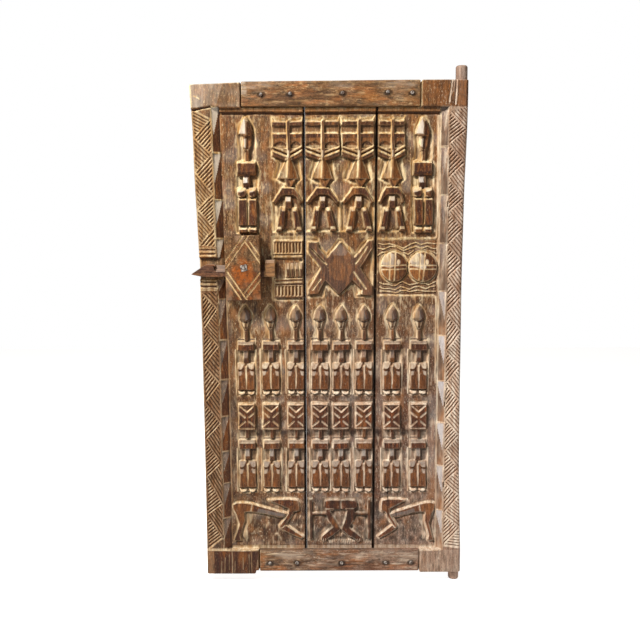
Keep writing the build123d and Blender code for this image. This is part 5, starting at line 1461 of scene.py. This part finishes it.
def wood(name, colours, foot=None, along="z"):
    """Old oiled wood: brown ground and polished faces, cream dust with painted light, a greyish painted sheen
    for reflected light, orange rubs with painted shade in warm brown, and dark cracks with painted shade and
    shadow.

    foot holds the colours that take over towards the door's foot, and along says how the grain runs.
    """
    def stretch(a, b):
        return {"z": (a, a, b), "x": (b, a, a), "mottled": (0.55 * a, 0.55 * a, 2.4 * b)}[along]

    n = Finish(name)
    shades = {key: srgb(value) for key, value in colours.items()}
    fibre = n.noise(stretch(230, 26), 6, 0.75)
    streak = n.noise(stretch(90, 14), 5, 0.65, (3, 1, 2))
    strand = n.noise(stretch(150, 34), 5, 0.75, (5, 9, 4))
    broad = n.noise(stretch(24, 9), 4, 0.65, (8, 2, 5))
    blotch = n.noise(stretch(34, 26), 5, 0.65, (1, 5, 2), 0.6)
    pores = n.noise(stretch(900, 60), 2, 0.5, (7, 3, 1))
    grain = n.noise((700, 700, 500), 2, 0.6)
    low = n.mix(n.ramp(blotch, 0.42, 0.62), shades["ground"], shades["patch"])
    low = n.mix(n.ramp(broad, 0.52, 0.68, 0, 0.8), low, shades["warm"])
    high = n.mix(n.ramp(streak, 0.48, 0.70, 0, 0.85), shades["face"], shades["glow"])
    tones = (low, high, shades["cream"], shades["dust"], shades["gloss"])
    if foot:
        tones = tinted(n, tones, foot, blotch, streak)
    low, high, cream, dust, gloss = tones
    base = n.mix(n.attribute("face"), low, high)
    dark = n.times(n.ramp(fibre, 0.34, 0.58, 0.50, 1.12), n.ramp(streak, 0.30, 0.60, 0.74, 1.10))
    dark = n.times(dark, n.ramp(strand, 0.36, 0.60, 0.74, 1.14))
    tick = n.noise(stretch(430, 170), 2, 0.7, (2, 7, 7))
    dark = n.times(dark, n.ramp(tick, 0.36, 0.60, 0.72, 1.26))
    base = n.mix(1.0, base, n.add("CombineColor", {i: dark for i in range(3)})[0], "MULTIPLY")
    # the rub mask holds painted shade in warm brown as well as rubbed patches
    rubbed = n.times(n.attribute("rub"), n.ramp(strand, 0.36, 0.58, 0.25, 1.0))
    rubbed = n.times(rubbed, n.ramp(fibre, 0.32, 0.55, 0.5, 1.0))
    base = n.mix(rubbed, base, shades["rub"])
    # painted highlight: the shine mask mixes in a greyish sheen colour that stands in for reflected light
    base = n.mix(n.times(n.attribute("shine"), n.ramp(fibre, 0.34, 0.56, 0.55, 1.0)), base, gloss)
    # the pale mask's dust and cream colours, which also carry the painted light on walls facing the lamp
    dust_and_light = n.times(n.ramp(fibre, 0.30, 0.54, 0.45, 1.0), n.ramp(blotch, 0.25, 0.7, 0.80, 1.08))
    dust_and_light = n.math("MULTIPLY", n.attribute("pale"), dust_and_light, clamp=True)
    speck = n.noise(stretch(330, 120), 3, 0.7, (4, 4, 9))
    fleck = n.times(n.ramp(speck, 0.56, 0.68, 0.0, 0.62), n.ramp(n.attribute("face"), 0.2, 0.8, 1.0, 0.3))
    dust_and_light = n.math("MAXIMUM", dust_and_light, fleck)
    base = n.mix(dust_and_light, base, n.mix(n.ramp(streak, 0.35, 0.68), dust, cream))
    # near-black where the deep mask is: grime in cracks and hollows, and painted shade and painted shadow
    base = n.mix(n.times(n.attribute("deep"), 0.85), base, srgb("1a100a"))
    rough = n.math("ADD", n.ramp(fibre, 0.2, 0.8, 0.42, 0.62), n.times(n.attribute("pale"), 0.25))
    rough = n.math("SUBTRACT", rough, n.times(n.attribute("shine"), 0.10), clamp=True)
    shine = n.ramp(n.attribute("shine"), 0, 1, 0.2, 0.7)
    relief = n.bump(grain, 0.12, 0.0003, n.bump(pores, 0.25, 0.0004, n.bump(fibre, 0.45, 0.0009)))
    n.fill(n.shader, {"Base Color": base, "Roughness": rough, "Specular IOR Level": shine, "Normal": relief})
    return n.material


def iron(name, scale_colour, rust_colour, bright):
    """Forged iron: dark scale, brown rust and brighter places where the pale mask paints light."""
    n = Finish(name)
    rust = n.noise((300, 300, 300), 4, 0.6)
    scale = n.noise((900, 900, 900), 3, 0.6, (2, 2, 2))
    base = n.mix(n.ramp(rust, 0.42, 0.66), srgb(scale_colour), srgb(rust_colour))
    lit = n.math("MULTIPLY", n.attribute("pale"), n.ramp(scale, 0.35, 0.65, 0.4, 1.0), clamp=True)
    base = n.mix(lit, base, srgb(bright))
    base = n.mix(n.times(n.attribute("deep"), 0.8), base, srgb("1c1512"))
    rough = n.ramp(rust, 0.3, 0.7, 0.5, 0.8)
    relief = n.bump(scale, 0.5, 0.0005, n.bump(rust, 0.4, 0.0008))
    n.fill(n.shader, {"Base Color": base, "Metallic": 0.2, "Roughness": rough, "Normal": relief})
    return n.material


# in these colour sets the greyish sheen colour is a painted highlight for reflected light, cream and dust
# also colour painted light, and the rub colour also paints shade in warm brown
DOOR = dict(ground="6f4c2d", patch="654a35", warm="845329", face="49291a", glow="87501f", cream="f8e4b6",
            dust="c4975c", gloss="c4bbb0", rub="9c6230")
DOOR_FOOT = dict(ground="644330", patch="6a5a50", face="4a2716", glow="804725", cream="f8e8d4", dust="d0ac92",
                 gloss="c3c0c8")
RAIL = dict(ground="7d5a39", patch="766049", warm="93602f", face="5c3d24", glow="8e5b30", cream="dcbd8c",
            dust="b38a58", gloss="b09c86", rub="ad6a38")
RAIL_FOOT = dict(ground="7d5d46", patch="7a6a5e", face="5f4130", glow="946040", cream="efdfcc", dust="bf9f82",
                 gloss="b4aaa2")
CASE = dict(ground="684a2e", patch="74573a", warm="875227", face="55341d", glow="8a5226", cream="ecd2a2",
            dust="d2a873", gloss="9a8064", rub="a4551a")
BOLT = dict(ground="5e4231", patch="5e4638", warm="7c5133", face="54382a", glow="7c5133", cream="c9ad8c",
            dust="a98560", gloss="a9998d", rub="a87a4c")
door = wood("door_wood_carved", DOOR, DOOR_FOOT)
rail = wood("rail_wood_rubbed", RAIL, RAIL_FOOT, along="x")
case = wood("lock_wood_oiled", CASE, along="mottled")
bolt = wood("bolt_wood_worn", BOLT, along="x")
metal = iron("forged_iron_rusted", "4c433d", "6f5241", "c9c0b6")


def top_border(x):
    """The height below which the top rail is darker."""
    return np.interp(x, *np.array(TOP_BORDER, float).T)


def bottom_border(x):
    """The same on the bottom rail."""
    return 30 + 6 * np.sin(x / 70)


def dress(obj, node, finish, body, slot):
    """Gives a piece its material and puts it in its node's place."""
    obj.data.materials.append(finish)
    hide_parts(node)
    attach(obj, body)


top_rail_paint = rail_paint(TOP_NAILS, TOP_STAINS, 71, top_border)
bottom_rail_paint = rail_paint(BOTTOM_NAILS, BOTTOM_STAINS, 81, bottom_border)
SMALL = [  # node, ending of the name, voxel, rounds of smoothing, paint, material, body and slot
    ("top_rail", "worn", 1.8, 4, top_rail_paint, rail, "leaf", "rail_wood"),
    ("bottom_rail", "worn", 1.8, 4, bottom_rail_paint, rail, "leaf", "rail_wood"),
    ("lock_case", "worn", 1.0, 4, case_paint, case, "leaf", "lock_wood"),
    ("lock_bolt", "worn", 0.8, 4, bolt_paint, bolt, "bolt", "bolt_wood"),
    ("top_rail_nails", "forged", 0.8, 3, iron_paint(91), metal, "leaf", "forged_iron"),
    ("bottom_rail_nails", "forged", 0.8, 3, iron_paint(93, bright=1.5), metal, "leaf", "forged_iron"),
    ("lock_washer", "forged", 0.6, 12, iron_paint(95, rough=0.35), metal, "leaf", "forged_iron"),
    ("lock_nail", "forged", 0.6, 6, iron_paint(97), metal, "leaf", "forged_iron"),
]
for node, ending, voxel, rounds, paint, finish, body_name, slot in SMALL:
    dress(worn(node, f"{node}_{ending}", voxel, rounds, paint), node, finish, body_name, slot)
for plank, node in ((lock_plank, "lock_plank"), (centre_plank, "centre_plank"), (hinge_plank, "hinge_plank")):
    dress(plank, node, door, "leaf", "door_wood")
# these are small and hidden, so they keep the solids' shapes
for node in ("joint_pins", "tumbler_1", "tumbler_2", "tumbler_3"):
    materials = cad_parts[node].data.materials
    materials.clear()
    materials.append(metal)


# ---------------------------------------------------------------- set, in metres
# a near-white matt floor; it glows where the camera sees it, so it reads white but keeps a shadow
matt = Finish("floor_pale")
rays = matt.add("LightPath")
seen = matt.math("MAXIMUM", rays["Is Camera Ray"], rays["Is Glossy Ray"])
seen = matt.math("MAXIMUM", seen, rays["Is Transmission Ray"])
matt.fill(matt.shader, {"Base Color": srgb("f2f1ef"), "Roughness": 0.9, "Emission Color": (1, 1, 1, 1),
                        "Emission Strength": matt.times(seen, 0.70)})
lowest = cad_lo.z - 0.0005
floor_mesh = bpy.data.meshes.new("floor")
floor_mesh.from_pydata([(x, y, lowest) for x, y in box(-6, 6, -5, 5)], [], [(0, 1, 2, 3)])
floor_mesh.materials.append(matt.material)
floor = bpy.data.objects.new("floor", floor_mesh)
bpy.context.scene.collection.objects.link(floor)

# the world is white where the camera sees it and a soft warm light elsewhere
world = bpy.data.worlds.new("studio")
bpy.context.scene.world = world
world.use_nodes = True
studio = Nodes(world.node_tree)
rays = studio.add("LightPath")
seen = studio.math("MAXIMUM", rays["Is Camera Ray"], rays["Is Transmission Ray"])
soft = studio.add("Background", {"Color": (1.0, 0.985, 0.96, 1), "Strength": 0.27})[0]
white = studio.add("Background", {"Color": (1, 1, 1, 1), "Strength": 1.0})[0]
studio.add("OutputWorld", {0: studio.add("MixShader", {0: seen, 1: soft, 2: white})[0]})


MIDDLE = Vector((-0.385, 0.0, 0.75))


def lamp(name, place, size, power, colour):
    """A square light that points at the middle of the door."""
    light = bpy.data.lights.new(name, "AREA")
    light.shape = "SQUARE"
    light.size = size
    light.energy = power
    light.color = colour
    obj = bpy.data.objects.new(name, light)
    obj.location = place
    obj.rotation_euler = (MIDDLE - Vector(place)).to_track_quat("-Z", "Y").to_euler()
    bpy.context.scene.collection.objects.link(obj)


lamp("key", (-2.0, -1.7, 3.1), 0.6, 140, (1.0, 0.975, 0.94))
lamp("fill", (1.8, -2.6, 1.2), 2.0, 8, (1.0, 0.99, 0.98))
lamp("behind", (0.4, 2.4, 2.2), 2.0, 30, (1, 1, 1))

# ---------------------------------------------------------------- camera, at the photo's angle
SENSOR = 36.0
FOCAL = 723.0 / 640 * SENSOR    # the photo is 640 pixels wide
EYE = (-0.412, -2.157118, 1.005722)
PITCH, ROLL = math.radians(6.0), 0.003
camera = bpy.data.objects.new("camera", bpy.data.cameras.new("camera"))
camera.data.lens = FOCAL
camera.data.sensor_width = SENSOR
camera.data.clip_start = 0.05
camera.data.clip_end = 60
forward = Vector((0, math.cos(PITCH), -math.sin(PITCH)))
right = Vector((1, 0, 0))
up = right.cross(forward)
turned_right = right * math.cos(ROLL) - up * math.sin(ROLL)
turned_up = right * math.sin(ROLL) + up * math.cos(ROLL)
basis = Matrix((turned_right, turned_up, -forward)).transposed()
camera.matrix_world = Matrix.Translation(EYE) @ basis.to_4x4()
bpy.context.scene.collection.objects.link(camera)
bpy.context.scene.camera = camera
bpy.context.scene.view_settings.view_transform = "Standard"

bpy.context.view_layer.update()
